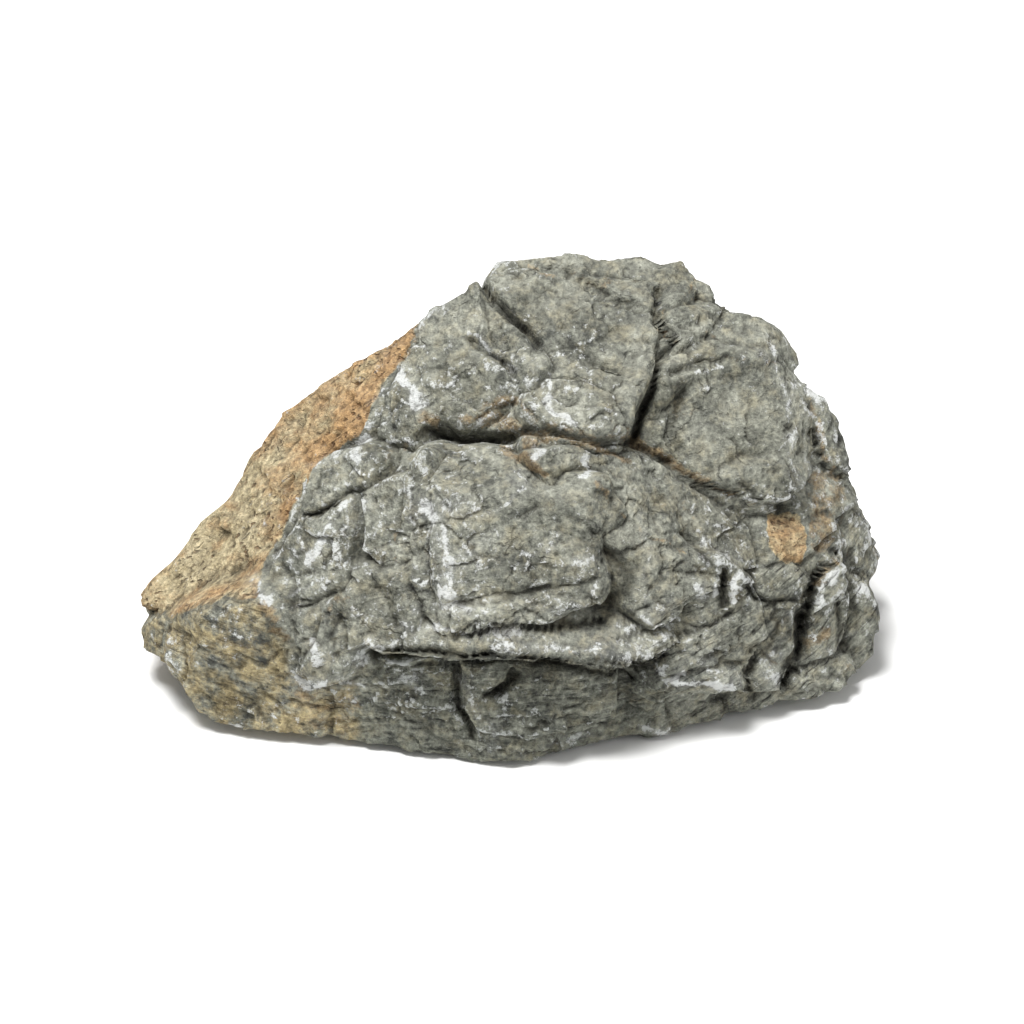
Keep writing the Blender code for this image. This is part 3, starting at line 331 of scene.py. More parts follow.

# Painted shadow and darker weathered parts of the front: course in the front view, half width and
# strength.
SHADOW_AND_WEATHER_STROKES = [
    ([(-16, 63), (-10, 61), (-5, 58)], 4.5, 0.8),
    ([(46, 57), (55, 53), (56, 44), (50, 42)], 7.0, 0.3),
    ([(-24, 57), (-20, 52), (-14, 53)], 3.5, 0.7),
    ([(-26, 50), (-30, 44), (-31, 39)], 3.5, 0.8),
    ([(-31, 22), (-29, 14), (-26, 8)], 4.0, 0.75),
    ([(-36, 24), (-38, 17), (-40, 12)], 2.0, 0.7),
    ([(-48, 36), (-46, 32), (-50, 26)], 3.0, 0.5),
    ([(12, 70), (20, 66), (24, 62)], 3.0, 0.6),
    ([(4, 84), (2, 79), (6, 76)], 3.0, 0.6),
    ([(14, 77), (22, 73)], 3.0, 0.4),
    ([(36, 60), (34, 54), (34, 48)], 3.0, 0.7),
    ([(42, 66), (50, 68), (58, 68)], 2.5, 0.4),
    ([(56, 40), (62, 38), (64, 36)], 3.0, 0.6),
    ([(58, 60), (62, 52), (61, 45)], 3.0, 0.4),
    ([(24, 22), (26, 16), (23, 10)], 3.5, 0.6),
    ([(8, 32), (14, 28), (20, 26)], 4.0, 0.4),
    ([(0, 14), (8, 16), (16, 15)], 4.0, 0.35),
    ([(44, 28), (50, 26), (55, 22)], 3.5, 0.45),
    ([(57, 17), (61, 14), (66, 15)], 3.0, 0.6),
    ([(69, 17), (71, 10), (69, 2)], 3.0, 0.6),
    ([(78, 14), (78, 6)], 2.5, 0.6),
    ([(50, 12), (50, 4)], 2.5, 0.5),
    ([(-82, 2), (-74, 1)], 3.5, 0.5),
    ([(-68, -12), (-62, -14), (-58, -12)], 4.5, 0.8),
    ([(-54, 2), (-53, -3)], 2.5, 0.8),
    ([(-8, -10), (2, -8), (10, -10)], 4.5, 0.6),
]

# Rusty and golden stains of the front: course in the front view, half width and strength.
STAINS = [
    ([(-19.4, 52.6), (-17, 51)], 1.1, 1.0),
    ([(-10, 51.6), (-2, 52), (3, 50.6)], 1.5, 0.8),
    ([(-6, 54.4), (0, 56), (5, 54.6), (7, 52)], 1.4, 0.75),
    ([(-2, 46.4), (4, 43.2), (9, 39.6)], 0.9, 1.0),
    ([(4, 47.6), (10, 48), (20, 45.6), (26, 42.6)], 1.0, 0.9),
    ([(30, 46.4), (36, 42.4), (42, 39), (50, 35.4), (58, 31.4)], 1.1, 1.0),
    ([(10, 50), (24, 48.6), (29, 47.6)], 1.2, 0.6),
    ([(20, 38), (23, 32.6), (28, 29)], 0.7, 0.8),
    ([(33, 24.6), (39.6, 21)], 0.7, 0.8),
    ([(30, 27), (31, 22)], 0.8, 0.5),
    ([(34.4, 79), (35, 74), (37.6, 71)], 0.7, 0.9),
    ([(40, 80.6), (45.6, 79.6)], 0.7, 0.7),
    ([(43, 86), (42, 83), (41, 81)], 0.9, 0.7),
    ([(50, 66.4), (62, 66)], 0.7, 0.7),
    ([(46, 73), (53, 70.6), (60, 68.6)], 0.7, 0.5),
    ([(5, 88.6), (8.4, 86)], 0.9, 0.8),
    ([(13, 86.8), (22, 83.6)], 0.8, 0.5),
    ([(70, 59), (72, 52), (73.6, 46), (76, 41)], 0.8, 0.9),
    ([(77, 19), (74, 17), (71, 15)], 0.9, 1.0),
    ([(77, 26), (78, 22)], 0.7, 0.7),
    ([(69, 0.6), (73, 2.4)], 1.4, 0.8),
    ([(76, -4), (79, -6)], 1.1, 0.7),
    ([(59, -4.4), (66, -2)], 0.7, 0.6),
    ([(-57.4, 9), (-54, 5), (-51.6, 2)], 0.8, 1.0),
    ([(-26.4, 27), (-25.2, 18)], 0.8, 0.8),
    ([(-24, 46), (-28, 44)], 1.0, 0.5),
    ([(-37, 12), (-41, 8), (-41, 4)], 0.9, 0.5),
    ([(13, -0.4), (14.4, -1.6)], 0.9, 0.9),
    ([(-8, 85.4), (-13, 82)], 1.1, 0.7),
    ([(-22, 70), (-24, 67)], 1.2, 0.9),
    ([(37, 55), (42, 53)], 1.4, 0.4),
    ([(44, 30), (54, 27)], 2.6, 0.3),
    ([(36, 34), (46, 31)], 3.0, 0.3),
]

# Faces of the front that are calmer than the rest.
CALM_AREAS = [
    [(-19, 38), (-17, 45), (-7, 47), (8, 42), (21, 37), (26, 30), (25, 22), (20, 12), (8, 8),
     (-8, 6), (-13, 8), (-16, 20)],
    [(-2, 83), (12, 84), (22, 80), (32, 76), (32, 63), (28, 52), (18, 50), (8, 56), (8, 68)],
    [(42, 62), (58, 63), (64, 60), (64, 42), (54, 40), (44, 42), (40, 54)],
    [(-27, 60), (-18, 72), (-8, 70), (0, 62), (-4, 55), (-22, 52)],
]
DENSER_TOWARDS = (0.0, -0.28, 0.20)     # where the grid of rays is closer
VIEW_CENTRE = (0.5, 31.0, 40.0)         # the middle of the camera's view, as a, c and w
KEY_LIGHT_PLACE = (-0.20, -0.30, 1.20)  # in metres, as the next four
KEY_LIGHT_SIZE = 0.42
FILL_LIGHT_PLACE = (1.0, -0.7, 0.7)
FILL_LIGHT_SIZE = 0.8
LIGHT_TARGET = (0.0, 0.0, 0.04)
SENSOR_WIDTH = 36.0                     # in millimetres
BUMP_DISTANCE = 0.0012                  # height of the finest grain, in metres

FLANK_BEDS = (0.69, 0.725)              # how far the flank's beds run to the right and upwards
# The beds: the levels that they follow, height, thickness in mm, seed and where they are.
BEDS = [
    ("wall", 1.5, 2.6, 201, "wall"),
    ("wall", 0.9, 3.6, 205, "low"),
    ("bulk", 0.9, 2.2, 209, "bulk"),
    ("flank", 0.8, 3.2, 213, "flank"),
    ("behind", 1.2, 3.8, 217, "behind"),
]

BLOCKS = []


def block(name, draft, outline, *faces, view=(0.0, FRONT_VIEW_ELEVATION)):
    """Adds a block: its outline in a view, the faces that end it towards the viewer, and the
    angle in degrees that its sides lean in by."""
    BLOCKS.append({"name": name, "draft": draft, "outline": outline, "faces": faces, "view": view})


# the low walls of the front and the left bulk
block("wall", 22, [(-43, -23), (-42, -4), (-30, -1), (-12, -0.5), (14, -1.5), (30, -4), (36, -9),
                   (38, -21), (5, -28), (-10, -29)],
      (0, -26.5, 44.7, 0.24, 0.66), (0, -26.5, 44.7, -0.40, 0.66))
block("wall middle", 22, [(-11, -3), (0, -1.5), (14, -2.5), (25, -5), (24, -17), (5, -22),
                          (-7, -20), (-11, -13)],
      (0, -24, 47.6, -0.12, 0.62))
block("left bulk", 22, [(-88, 6), (-72, 9.5), (-57, 10.5), (-52, 3), (-46, -6), (-42, -12),
                       (-42, -22), (-67, -22), (-88, -4)],
      (-67, -19.5, 34, 0.24, 0.62), (-84, 6, 25, 1.6, 0.2))
block("ochre flank", 22, [(-90, 10), (-62, 50), (-22, 78), (-22, 73), (-27, 63), (-33, 52),
                          (-46, 40.5), (-52, 28), (-58, 15), (-57, 10), (-72, 8)],
      (-33, 52, 50, 0.93, -0.51))
# the ledge below the middle boulder
block("ledge", 30, [(-32.5, 2), (-30, 0), (-18, 1.2), (-12, 0.6), (0, 0.2), (8, 1.2), (14, 0),
                    (20, -2), (27, -3), (33, -1), (39, 3), (45, 8), (44, 16), (34, 22), (0, 16),
                    (-22, 18), (-33, 12)],
      (0, 1, 66.0, 0.16, -0.75), (0, 1, 66.0, -0.30, -0.6))
block("lower ledge", 24, [(-12, -1.2), (0, -1.5), (14, -2.5), (24, -5), (33, -4), (37, -0.5),
                          (30, 3), (0, 3), (-12, 3)],
      (0, -1, 62, 0.1, -0.2), (10, -1, 61.5, -0.28, -0.2))
# the boulder in the middle
block("boulder", 24, [(-24.5, 38), (-22, 44), (-19, 47), (-7, 48.3), (0, 45.5), (10, 42), (22, 38),
                      (28, 30), (27, 22), (22, 10.5), (19, 8.6), (12, 6.6), (0, 4), (-8, 3),
                      (-14, 3), (-20, 8), (-24, 14), (-25, 28)],
      (0, 18, 66.4, -0.02, 0.17), (0, 34, 69.2, 0.02, -0.83), (-14.5, 18, 66.3, 0.85, 0.12),
      (19, 20, 66, -0.75, 0.1))
block("boulder rim", 22, [(-25.5, 30), (-24.5, 39), (-20, 45), (-19, 38), (-18, 26), (-18, 14),
                          (-13, 7), (-8, 4.4), (-9, 2.6), (-15, 2.6), (-21, 8), (-25, 14)],
      (-19, 18, 63.2, 0.5, 0.12))
block("boulder foot", 26, [(-13, 3), (0, 3.6), (8, 4.6), (19, 8.4), (19, 10), (10, 10.5), (-2, 9),
                           (-13, 7)],
      (0, 5, 65.6, -0.1, 0.3))
# the slope to the right of the boulder
block("right slope", 22, [(4, 45), (14, 46.5), (28, 46), (38, 40), (46, 36), (57, 31.5), (60, 26),
                          (60, 19), (54, 17), (44, 10), (34, 3), (28, 8), (24, 20)],
      (31, 24, 59.2, -0.60, -0.34), (31, 20, 60.5, -0.35, 0.15))
block("low slope", 22, [(31, 12), (38, 20), (50, 19), (57, 14), (62, 4), (55, -4), (44, -8),
                        (36, -9), (35, 0), (45, 8)],
      (45, 5, 50.3, -0.45, 0.35))
# the grey mass to the left of the boulder
block("left upper", 22, [(-46, 41.5), (-40, 45.5), (-34, 47), (-29.5, 42.5), (-34, 36.8),
                         (-36.5, 36), (-40, 33), (-44, 30.5), (-50, 31)],
      (-40, 38, 55.6, 0.45, -0.35))
block("left middle", 22, [(-50, 30), (-44, 29.5), (-40, 32), (-36.5, 35), (-35.3, 26), (-36, 18),
                          (-40, 12), (-46, 8), (-56, 9), (-58, 15), (-54, 22)],
      (-44, 22, 56.3, 0.55, 0.05), (-40, 24, 58, -0.3, 0.0))
block("small block", 22, [(-34, 36.3), (-25, 40), (-21, 42), (-22, 20), (-30, 18), (-34, 22)],
      (-28, 30, 59.8, 0.35, -0.05))
block("left foot", 22, [(-57, 8), (-46, 7), (-40, 11), (-36, 17), (-26, 18), (-22, 8), (-24, 2),
                        (-33, 2.2), (-38, -2), (-40, -9), (-47, -10), (-51, -6), (-48, 0),
                        (-54, 3)],
      (-44, 0, 52.6, 0.45, 0.35), (-30, 8, 60, 0.35, 0.05))
block("left lump", 26, [(-49, -6), (-45, -1), (-43, 4), (-39, 2), (-38, -4), (-40, -9),
                        (-46, -10)],
      (-44, -4, 52.8, 0.3, 0.45))
# the upper mass
block("upper left", 22, [(-21, 75), (-14, 81), (-8, 85), (-6, 72), (0, 67), (5, 61), (4, 57),
                         (-6, 53.5), (-12, 51), (-16, 54), (-20, 50.5), (-24, 46), (-30, 47),
                         (-32.5, 53), (-30, 58), (-25, 66)],
      (-16, 62, 54.6, 0.42, -0.42), (-26, 55, 54, 0.9, -0.1), (-10, 56, 57.5, 0.1, -0.1))
block("rib", 24, [(-9, 71), (-12, 77), (-7.5, 85), (-3, 78), (0, 75.5), (7, 69), (9, 66),
                  (5, 61.5), (-2, 66)],
      (0, 72, 53.6, 0.2, -0.62))
block("upper main", 22, [(-5, 85), (0, 87.5), (14, 85.5), (20, 83), (24, 79.8), (33, 78),
                         (34, 75), (33.5, 62.5), (31, 56), (28, 48), (20, 47.5), (14, 48),
                         (10, 50.5), (5, 55), (4, 58), (9, 66), (5, 71.5), (-1, 77.5),
                         (-4.5, 81)],
      (12, 62, 57.4, -0.12, -0.50), (20, 51, 59.8, -0.1, 0.1), (14, 85, 45.6, 0, -0.9))
block("upper lobe", 28, [(4, 58), (8, 62.5), (16, 62), (24, 58), (27, 50), (20, 48), (14, 48.5),
                         (8, 52), (4, 55)],
      (13, 56, 60.4, -0.05, -0.35))
block("rear top", 22, [(-4, 86), (-3, 93), (31, 94), (42, 93), (43, 83), (36, 79.5), (30, 78.5),
                       (24, 80.5), (20, 84), (13, 86.5)],
      (15, 88, 39.5, -0.05, -0.8))
block("rear right", 22, [(34, 80), (36, 77), (39, 71), (46, 73), (52, 79), (50, 86), (44, 90),
                         (36, 84)],
      (42, 79, 42, -0.3, -0.9))
# the right hand boulder and the slab on it
block("right slab", 24, [(36, 63.3), (40, 62.7), (43, 65), (50, 66), (60, 65.5), (63, 62),
                         (68, 66), (66, 74), (58, 79), (50, 79), (44, 74), (39, 70.5), (35, 67)],
      (48, 68, 47.6, -0.22, -0.75), (63, 67, 41, -1.2, -0.6))
block("right boulder", 22, [(39.5, 62), (43, 64.5), (50, 65.5), (60, 65), (65, 66), (69, 60),
                            (71, 52), (71, 44), (69, 38), (65, 33), (58, 34), (50, 38),
                            (46, 37.5), (41, 40.5), (38, 49), (39.5, 56)],
      (50, 50, 47.8, -0.22, -0.04), (64.5, 50, 44.0, -1.4, -0.15))
block("right foot", 26, [(50, 38.5), (58, 41), (64.5, 41), (67, 36), (64, 31.8), (58, 33),
                         (54, 35.5)],
      (58, 37, 47.2, -0.25, 0.45))
block("wedge", 22, [(34, 61), (38, 62), (38.5, 56), (37, 49), (40, 44), (36, 43), (30, 46.5),
                    (29.5, 50), (33, 57)],
      (35, 52, 50.2, -0.25, 0.0))
# the right rim and the low blocks of the right end
block("rim upper", 22, [(70.5, 60), (73, 52), (74, 46), (76, 41), (82, 40), (80, 50), (76, 60)],
      (74, 50, 31, -1.0, -0.3))
block("rim nook", 24, [(68, 38), (70, 41), (76, 40), (82, 38), (82, 33), (76, 28), (70, 28),
                       (67, 31)],
      (72, 35, 33.6, -0.8, -0.2))
block("ochre patch", 22, [(59, 31), (67, 31), (77, 30), (76, 25), (70, 20), (67, 18), (59, 19)],
      (64, 24, 40.5, -0.6, -0.25))
block("rim lump", 26, [(79.5, 32), (84, 30), (89, 21), (88, 16), (81, 15), (79, 19), (78, 25)],
      (82, 22, 24, -0.9, 0.0))
block("low boulder", 26, [(56, 17), (60, 19), (67, 18.5), (71, 15), (69.5, 11), (65, 10),
                          (60, 11), (56, 13)],
      (63, 14, 42.4, -0.4, 0.1))
block("low block", 22, [(50, 17), (56, 12.5), (60, 10.5), (68, 9.5), (68, 2), (65, -5),
                        (63, -10), (56, -12), (54, -8), (46, -8), (44, -2), (50, 4)],
      (58, 0, 39.0, -0.45, 0.45))
block("low slab", 30, [(50, 16.5), (55.5, 14), (57, 8), (55, 1), (50, 2), (49.6, 9)],
      (53, 8, 45.6, -0.35, 0.3))
block("low lump", 30, [(58, 8.6), (62, 9.6), (67.4, 8.8), (67, 3), (64, -1), (59, 1)],
      (63, 4, 38.6, -0.3, 0.5))
block("foot lump", 30, [(56.6, -4.6), (61, -3), (65.6, -4.4), (64, -10), (57, -11.4)],
      (61, -7, 36.4, -0.35, 0.5))
block("low shelf", 28, [(36, -9.5), (44, -8.6), (54, -9.6), (56, -3), (50, 1), (42, 0), (36, -4)],
      (46, -6, 45.8, -0.40, 0.0))
block("right column", 24, [(70.5, 13), (75, 18), (79, 17), (80.5, 11), (79.5, 4), (77, -1),
                           (71, -4), (69.3, 3)],
      (75, 8, 32.4, -0.5, 0.35))
block("end lump", 26, [(81.5, 13), (89, 9), (88, 2), (86, -5), (79, -4), (80, 4)],
      (83, 5, 21.6, -0.9, 0.3))
block("end foot", 22, [(64, -9.5), (66, -5), (71, -5), (80, -3), (84, -6), (78, -14), (68, -17)],
      (72, -9, 26.2, -0.4, 0.55))

# The blocks of the sides and the back: azimuth and elevation from the heart, half width, half
# height, turn in degrees, how far the block stands out, and its lean to the right and upwards.
CHUNKS = [
    (104, -14, 17, 10, 6, 2.6, 0.10, 0.05),
    (134, -18, 25, 9, -5, 1.4, -0.08, 0.15),
    (166, -22, 19, 11, 6, 3.2, 0.10, 0.05),
    (-162, -24, 15, 9, -8, 1.8, -0.05, 0.15),
    (-128, -16, 29, 11, 4, 3.0, 0.06, 0.10),
    (-102, -8, 13, 12, -14, 1.8, -0.08, 0.05),
    (112, 8, 16, 9, -10, 3.2, 0.12, -0.10),
    (146, 4, 24, 12, 7, 2.0, -0.06, 0.08),
    (178, 4, 15, 11, -10, 4.4, 0.06, 0.10),
    (-156, 6, 24, 10, 8, 2.4, 0.10, -0.06),
    (-124, 8, 17, 9, -12, 3.8, -0.08, 0.06),
    (114, 32, 12, 11, 20, 2.4, 0.10, -0.08),
    (142, 30, 19, 9, -10, 4.0, -0.08, 0.10),
    (174, 28, 18, 10, 6, 1.6, 0.06, 0.05),
    (-150, 31, 14, 12, -24, 3.6, 0.12, 0.08),
    (-120, 28, 20, 10, 14, 2.0, -0.08, 0.06),
    (132, 56, 11, 9, 12, 2.2, -0.08, -0.08),
    (170, 52, 21, 9, -8, 3.6, 0.08, 0.06),
    (-148, 54, 17, 10, 18, 2.2, -0.10, -0.08),
    (-112, 50, 10, 7, -10, 2.6, 0.08, 0.08),
    (160, 74, 15, 7, 6, 2.0, 0.06, -0.05),
    (97, 58, 10, 7, 12, 2.0, 0.05, 0.06),
    (84, -16, 13, 9, 8, 1.8, 0.06, 0.05),
    (90, 10, 11, 9, -12, 2.2, -0.06, -0.05),
    (62, -27, 12, 7, 12, 1.2, 0.05, 0.08),
    (-70, -20, 13, 8, -8, 1.4, 0.05, 0.05),
]
CHUNK_CORNERS = 7
CHUNK_DRAFT = 26.0
CHUNK_REACH = (0.8, 1.2)        # how far a corner is from the middle, as a share of the half size
CHUNK_SHIFT = 0.6               # how far a corner strays round the middle, in steps between corners
CHUNK_SQUARENESS = 0.7          # 1 for an oval, less for a block
CHUNK_BROW = (0.45, 0.1, -0.55)  # height share and leans of the upper face of a block


def view_axes(azimuth, elevation):
    """The directions to the right, up and towards the viewer of a view, angles in degrees."""
    a = math.radians(azimuth)
    e = math.radians(elevation)
    right = (math.cos(a), math.sin(a), 0.0)
    up = (-math.sin(a) * math.sin(e), math.cos(a) * math.sin(e), math.cos(e))
    near = (math.sin(a) * math.cos(e), -math.cos(a) * math.cos(e), math.sin(e))
    return np.array([right, up, near])


def hash01(ix, iy, iz, seed):
    """A number from 0 to 1 for each point with whole coordinates."""
    n = ix.astype(np.uint32) * np.uint32(374761393)
    n = n ^ (iy.astype(np.uint32) * np.uint32(668265263))
    n = n ^ (iz.astype(np.uint32) * np.uint32(2147483647))
    n = n ^ np.uint32(seed * 1274126177 % 4294967296)
    n = (n ^ (n >> np.uint32(13))) * np.uint32(1274126177)
    n = (n ^ (n >> np.uint32(15))) * np.uint32(2246822519)
    n = n ^ (n >> np.uint32(16))
    return n.astype(np.float64) / 4294967295.0


def noise(points, size, seed):
    """Smooth noise from -1 to 1 with waves of about the given size."""
    p = points / size + 1000.0
    base = np.floor(p)
    f = p - base
    f = f * f * f * (f * (f * 6 - 15) + 10)
    i = base.astype(np.int64)
    total = np.zeros(len(points))
    for dx in (0, 1):
        wx = f[:, 0] if dx else 1 - f[:, 0]
        for dy in (0, 1):
            wy = f[:, 1] if dy else 1 - f[:, 1]
            for dz in (0, 1):
                wz = f[:, 2] if dz else 1 - f[:, 2]
                total += wx * wy * wz * hash01(i[:, 0] + dx, i[:, 1] + dy, i[:, 2] + dz, seed)
    return total * 2 - 1


def rough(points, size, octaves, seed):
    """Noise of several sizes, each half of the one before in size and height."""
    total = np.zeros(len(points))
    for k in range(octaves):
        total += 0.5 ** k * noise(points, size / 2 ** k, seed + 17 * k)
    return total


def breaks(points, size, seed):
    """Broken stone: cells of about the given size, each a plane with its own lean and height.
    Returns the height of the cell's plane, from about -1 to 1, and how near the border between two
    cells is, as a share of the size."""
    p = points / size + 1000.0
    base = np.floor(p).astype(np.int64)
    nearest = np.full(len(p), 9.0)
    second = np.full(len(p), 9.0)
    height = np.zeros(len(p))
    for step in NEAR_CELLS:
        q = base + step
        own = [hash01(q[:, 0], q[:, 1], q[:, 2], seed + k) for k in range(7)]
        away = p - q - np.stack(own[:3], 1)
        d = np.linalg.norm(away, axis=1)
        plane = BREAK_LEAN * (away * (np.stack(own[3:6], 1) * 2 - 1)).sum(1) + own[6] - 0.5
        second = np.where(d < nearest, nearest, np.minimum(second, d))
        height = np.where(d < nearest, plane, height)
        nearest = np.minimum(nearest, d)
    return height, second - nearest


def break_places(points):
    """The places that the breaks are read at: points that stray, squashed from above."""
    wander = [rough(points, BREAK_WANDER_SIZE, 2, 21 + k) for k in range(3)]
    places = points + BREAK_WANDER * np.stack(wander, 1)
    places[:, 2] *= BREAK_SQUASH
    return places


def leaning_plane(face, axes):
    """Outward normal of a face given in a view, and its distance from the heart."""
    a, c, w, lean_a, lean_c = face
    normal = np.array([-lean_a, -lean_c, 1.0])
    normal = normal / np.linalg.norm(normal) @ axes
    return normal, normal @ (np.array([a, c, w]) @ axes - HEART)


def facing_plane(plane):
    """Outward normal of a plane given by a point and where it faces, and its distance."""
    x, y, z, azimuth, elevation = plane
    normal = view_axes(azimuth, elevation)[2]
    return normal, normal @ (np.array([x, y, z]) - HEART)


def underside_planes():
    """The planes that rise from the edge of the flat spot, all round."""
    planes = []
    for k in range(FLAT_SPOT_CORNERS):
        azimuth = 360.0 / FLAT_SPOT_CORNERS * k
        a = math.radians(azimuth)
        x = math.sin(a) * FLAT_SPOT_WIDTH / 2
        y = -math.cos(a) * FLAT_SPOT_DEPTH / 2 + FLAT_SPOT_CENTRE_Y
        planes.append(facing_plane((x, y, 0.0, azimuth, UNDERSIDE_RISE - 90.0)))
    return np.array([p[0] for p in planes]), np.array([p[1] for p in planes])


def chunk_block(number, chunk, core):
    """Adds an uneven block with seven corners to the sides or the back."""
    azimuth, elevation, half_width, half_height, turn, stand, lean_a, lean_c = chunk
    k = np.arange(CHUNK_CORNERS)
    nearest, farthest = CHUNK_REACH
    reach = nearest + (farthest - nearest) * hash01(k, k * 0 + number, k * 0, 5)
    shift = CHUNK_SHIFT * hash01(k, k * 0 + number, k * 0, 6)
    angle = 2 * math.pi * (k + shift) / CHUNK_CORNERS
    x = np.sign(np.cos(angle)) * np.abs(np.cos(angle)) ** CHUNK_SQUARENESS * half_width * reach
    y = np.sign(np.sin(angle)) * np.abs(np.sin(angle)) ** CHUNK_SQUARENESS * half_height * reach
    t = math.radians(turn)
    axes = view_axes(azimuth, elevation)
    middle = axes @ HEART
    a = middle[0] + x * math.cos(t) - y * math.sin(t)
    c = middle[1] + x * math.sin(t) + y * math.cos(t)
    slope = core[0] @ axes[2]
    exits = np.where(slope > 1e-3, core[1] / np.maximum(slope, 1e-3), 1e3)
    normal = axes @ core[0][np.argmin(exits)]
    lean = (lean_a - normal[0] / normal[2], lean_c - normal[1] / normal[2])
    w = middle[2] + exits.min() + stand
    face = (middle[0], middle[1], w, lean[0], lean[1])
    height, brow_a, brow_c = CHUNK_BROW
    brow = (middle[0], middle[1] + half_height * height, w, lean[0] + brow_a, lean[1] + brow_c)
    block("chunk %d" % number, CHUNK_DRAFT, list(zip(a, c)), face, brow, view=(azimuth, elevation))


def prepare(item):
    """Adds to a block its planes and its outline as the heart sees it."""
    axes = view_axes(*item["view"])
    planes = [leaning_plane(face, axes) for face in item["faces"]]
    item["normals"] = np.array([p[0] for p in planes])
    item["rooms"] = np.array([p[1] for p in planes])
    outline = np.array(item["outline"], float)
    depths = []
    for a, c, w, lean_a, lean_c in item["faces"]:
        depths.append(w + lean_a * (outline[:, 0] - a) + lean_c * (outline[:, 1] - c))
    corners = np.column_stack([outline, np.min(depths, axis=0)]) @ axes - HEART
    middle = corners.mean(0)
    middle /= np.linalg.norm(middle)
    side = np.cross([0.0, 0.0, 1.0], middle)
    side /= np.linalg.norm(side)
    item["frame"] = np.array([side, np.cross(middle, side), middle])
    seen = corners @ item["frame"].T
    item["polygon"] = seen[:, :2] / seen[:, 2:]
    item["far"] = np.linalg.norm(corners, axis=1).max() * BLOCK_MARGIN


def squared_distance(points, p, q):
    """Squared distance of points to the line from p to q."""
    edge = q - p
    d = points - p
    t = np.clip(d @ edge / (edge @ edge), 0, 1)
    return ((d - t[:, None] * edge) ** 2).sum(1)


def outline_distance(points, polygon):
    """Distance of points to a closed outline, below zero inside of it."""
    nearest = np.full(len(points), 1e9)
    inside = np.zeros(len(points), bool)
    for p, q in zip(polygon, np.roll(polygon, -1, 0)):
        nearest = np.minimum(nearest, squared_distance(points, p, q))
        edge = q - p
        if abs(edge[1]) > 1e-12:
            across = (p[1] > points[:, 1]) != (q[1] > points[:, 1])
            inside ^= across & (points[:, 0] < p[0] + edge[0] * (points[:, 1] - p[1]) / edge[1])
    nearest = np.sqrt(nearest)
    return np.where(inside, -nearest, nearest)


def soft_min(values, softness):
    """The least value of each row, a little less where two are about the same."""
    least = values.min(1)
    excess = np.minimum(values - least[:, None], 60 * softness)
    return least - softness * np.log(np.exp(-excess / softness).sum(1))


def plane_exit(rays, normals, rooms, softness):
    """How far rays from the heart go before the first of the planes."""
    slope = rays @ normals.T
    return soft_min(np.where(slope > 1e-3, rooms / np.maximum(slope, 1e-3), 1e3), softness)


def block_exit(rays, item):
    """How far rays from the heart go before they leave a block, the same for its faces alone, and
    the distance to its outline; 0, 0 and 9 where they are far from it."""
    out = np.zeros(len(rays))
    faces = np.zeros(len(rays))
    gaps = np.full(len(rays), 9.0)
    seen = rays @ item["frame"].T
    reach = np.abs(item["polygon"]).max() + 0.6
    near = np.abs(seen[:, :2]).max(1) < reach * np.maximum(seen[:, 2], 0)
    near &= seen[:, 2] > 0.2
    seen = seen[near]
    t = np.minimum(plane_exit(rays[near], item["normals"], item["rooms"], EDGE_ROUNDING), item["far"])
    gap = outline_distance(seen[:, :2] / seen[:, 2:], item["polygon"])
    faces[near] = t
    gaps[near] = gap
    bevel = EDGE_ROUNDING * 1.2 / BEVEL_DISTANCE
    gap = 0.5 * (gap + np.sqrt(gap * gap + bevel * bevel))
    draft = math.radians(item["draft"])
    out[near] = t * math.sin(draft) / np.sin(np.minimum(draft + gap, 1.5))
    return out, faces, gaps


def path_distance(points, path):
    """Distance of points to an open path."""
    nearest = np.full(len(points), 1e9)
    path = np.array(path, float)
    for p, q in zip(path[:-1], path[1:]):
        nearest = np.minimum(nearest, squared_distance(points, p, q))
    return np.sqrt(nearest)


def crack_depth(points, axes):
    """How deep the cracks of the front cut into the surface at points of it."""
    seen = points @ axes.T
    wander = [noise(points, CRACK_WANDER_SIZE, seed) for seed in (91, 92)]
    flat = seen[:, :2] + CRACK_WANDER * np.stack(wander, 1)
    depth = np.zeros(len(points))
    front = seen[:, 2] > CRACK_BACK
    for path, width, deep in CRACKS:
        d = path_distance(flat[front], path) / (CRACK_NARROWING * width)
        depth[front] = np.maximum(depth[front], deep * np.exp(-d ** CRACK_SHARPNESS))
    return depth


def outline_exit(rays, axes):
    """How far rays from the heart go before they leave the rock's outline in the front view."""
    flat = rays @ axes[:2].T
    length = np.maximum(np.linalg.norm(flat, axis=1), 1e-6)
    d = flat / length[:, None]
    corners = np.array(OUTLINE) - axes[:2] @ HEART
    reach = np.full(len(rays), 1e9)
    for p, q in zip(corners, np.roll(corners, -1, 0)):
        e = q - p
        turn = d[:, 0] * e[1] - d[:, 1] * e[0]
        turn = np.where(np.abs(turn) < 1e-9, 1e-9, turn)
        t = (p[0] * e[1] - p[1] * e[0]) / turn
        u = (p[0] * d[:, 1] - p[1] * d[:, 0]) / turn
        hit = (t > 0) & (u > -1e-6) & (u < 1 + 1e-6)
        reach = np.where(hit, np.minimum(reach, t), reach)
    return reach / length


def underside_exit(rays, best):
    """The given distances, cut off by the underside, and down to the ground all over the flat spot."""
    down = np.minimum(rays[:, 2], -1e-3)
    ground = np.where(rays[:, 2] < -1e-3, -HEART[2] / down, 1e3)
    normals, rooms = underside_planes()
    under = plane_exit(rays, normals, rooms, EDGE_ROUNDING)
    resting = (under > ground) & (ground < 1e3)
    uneven = 1 + rough(rays * WARP_RADIUS, LUMP_SIZE, 2, 63)
    under = under - UNDERSIDE_WEAR * np.clip(ground - under, 0, 2) * uneven
    return np.where(resting, ground, np.minimum(best, under))


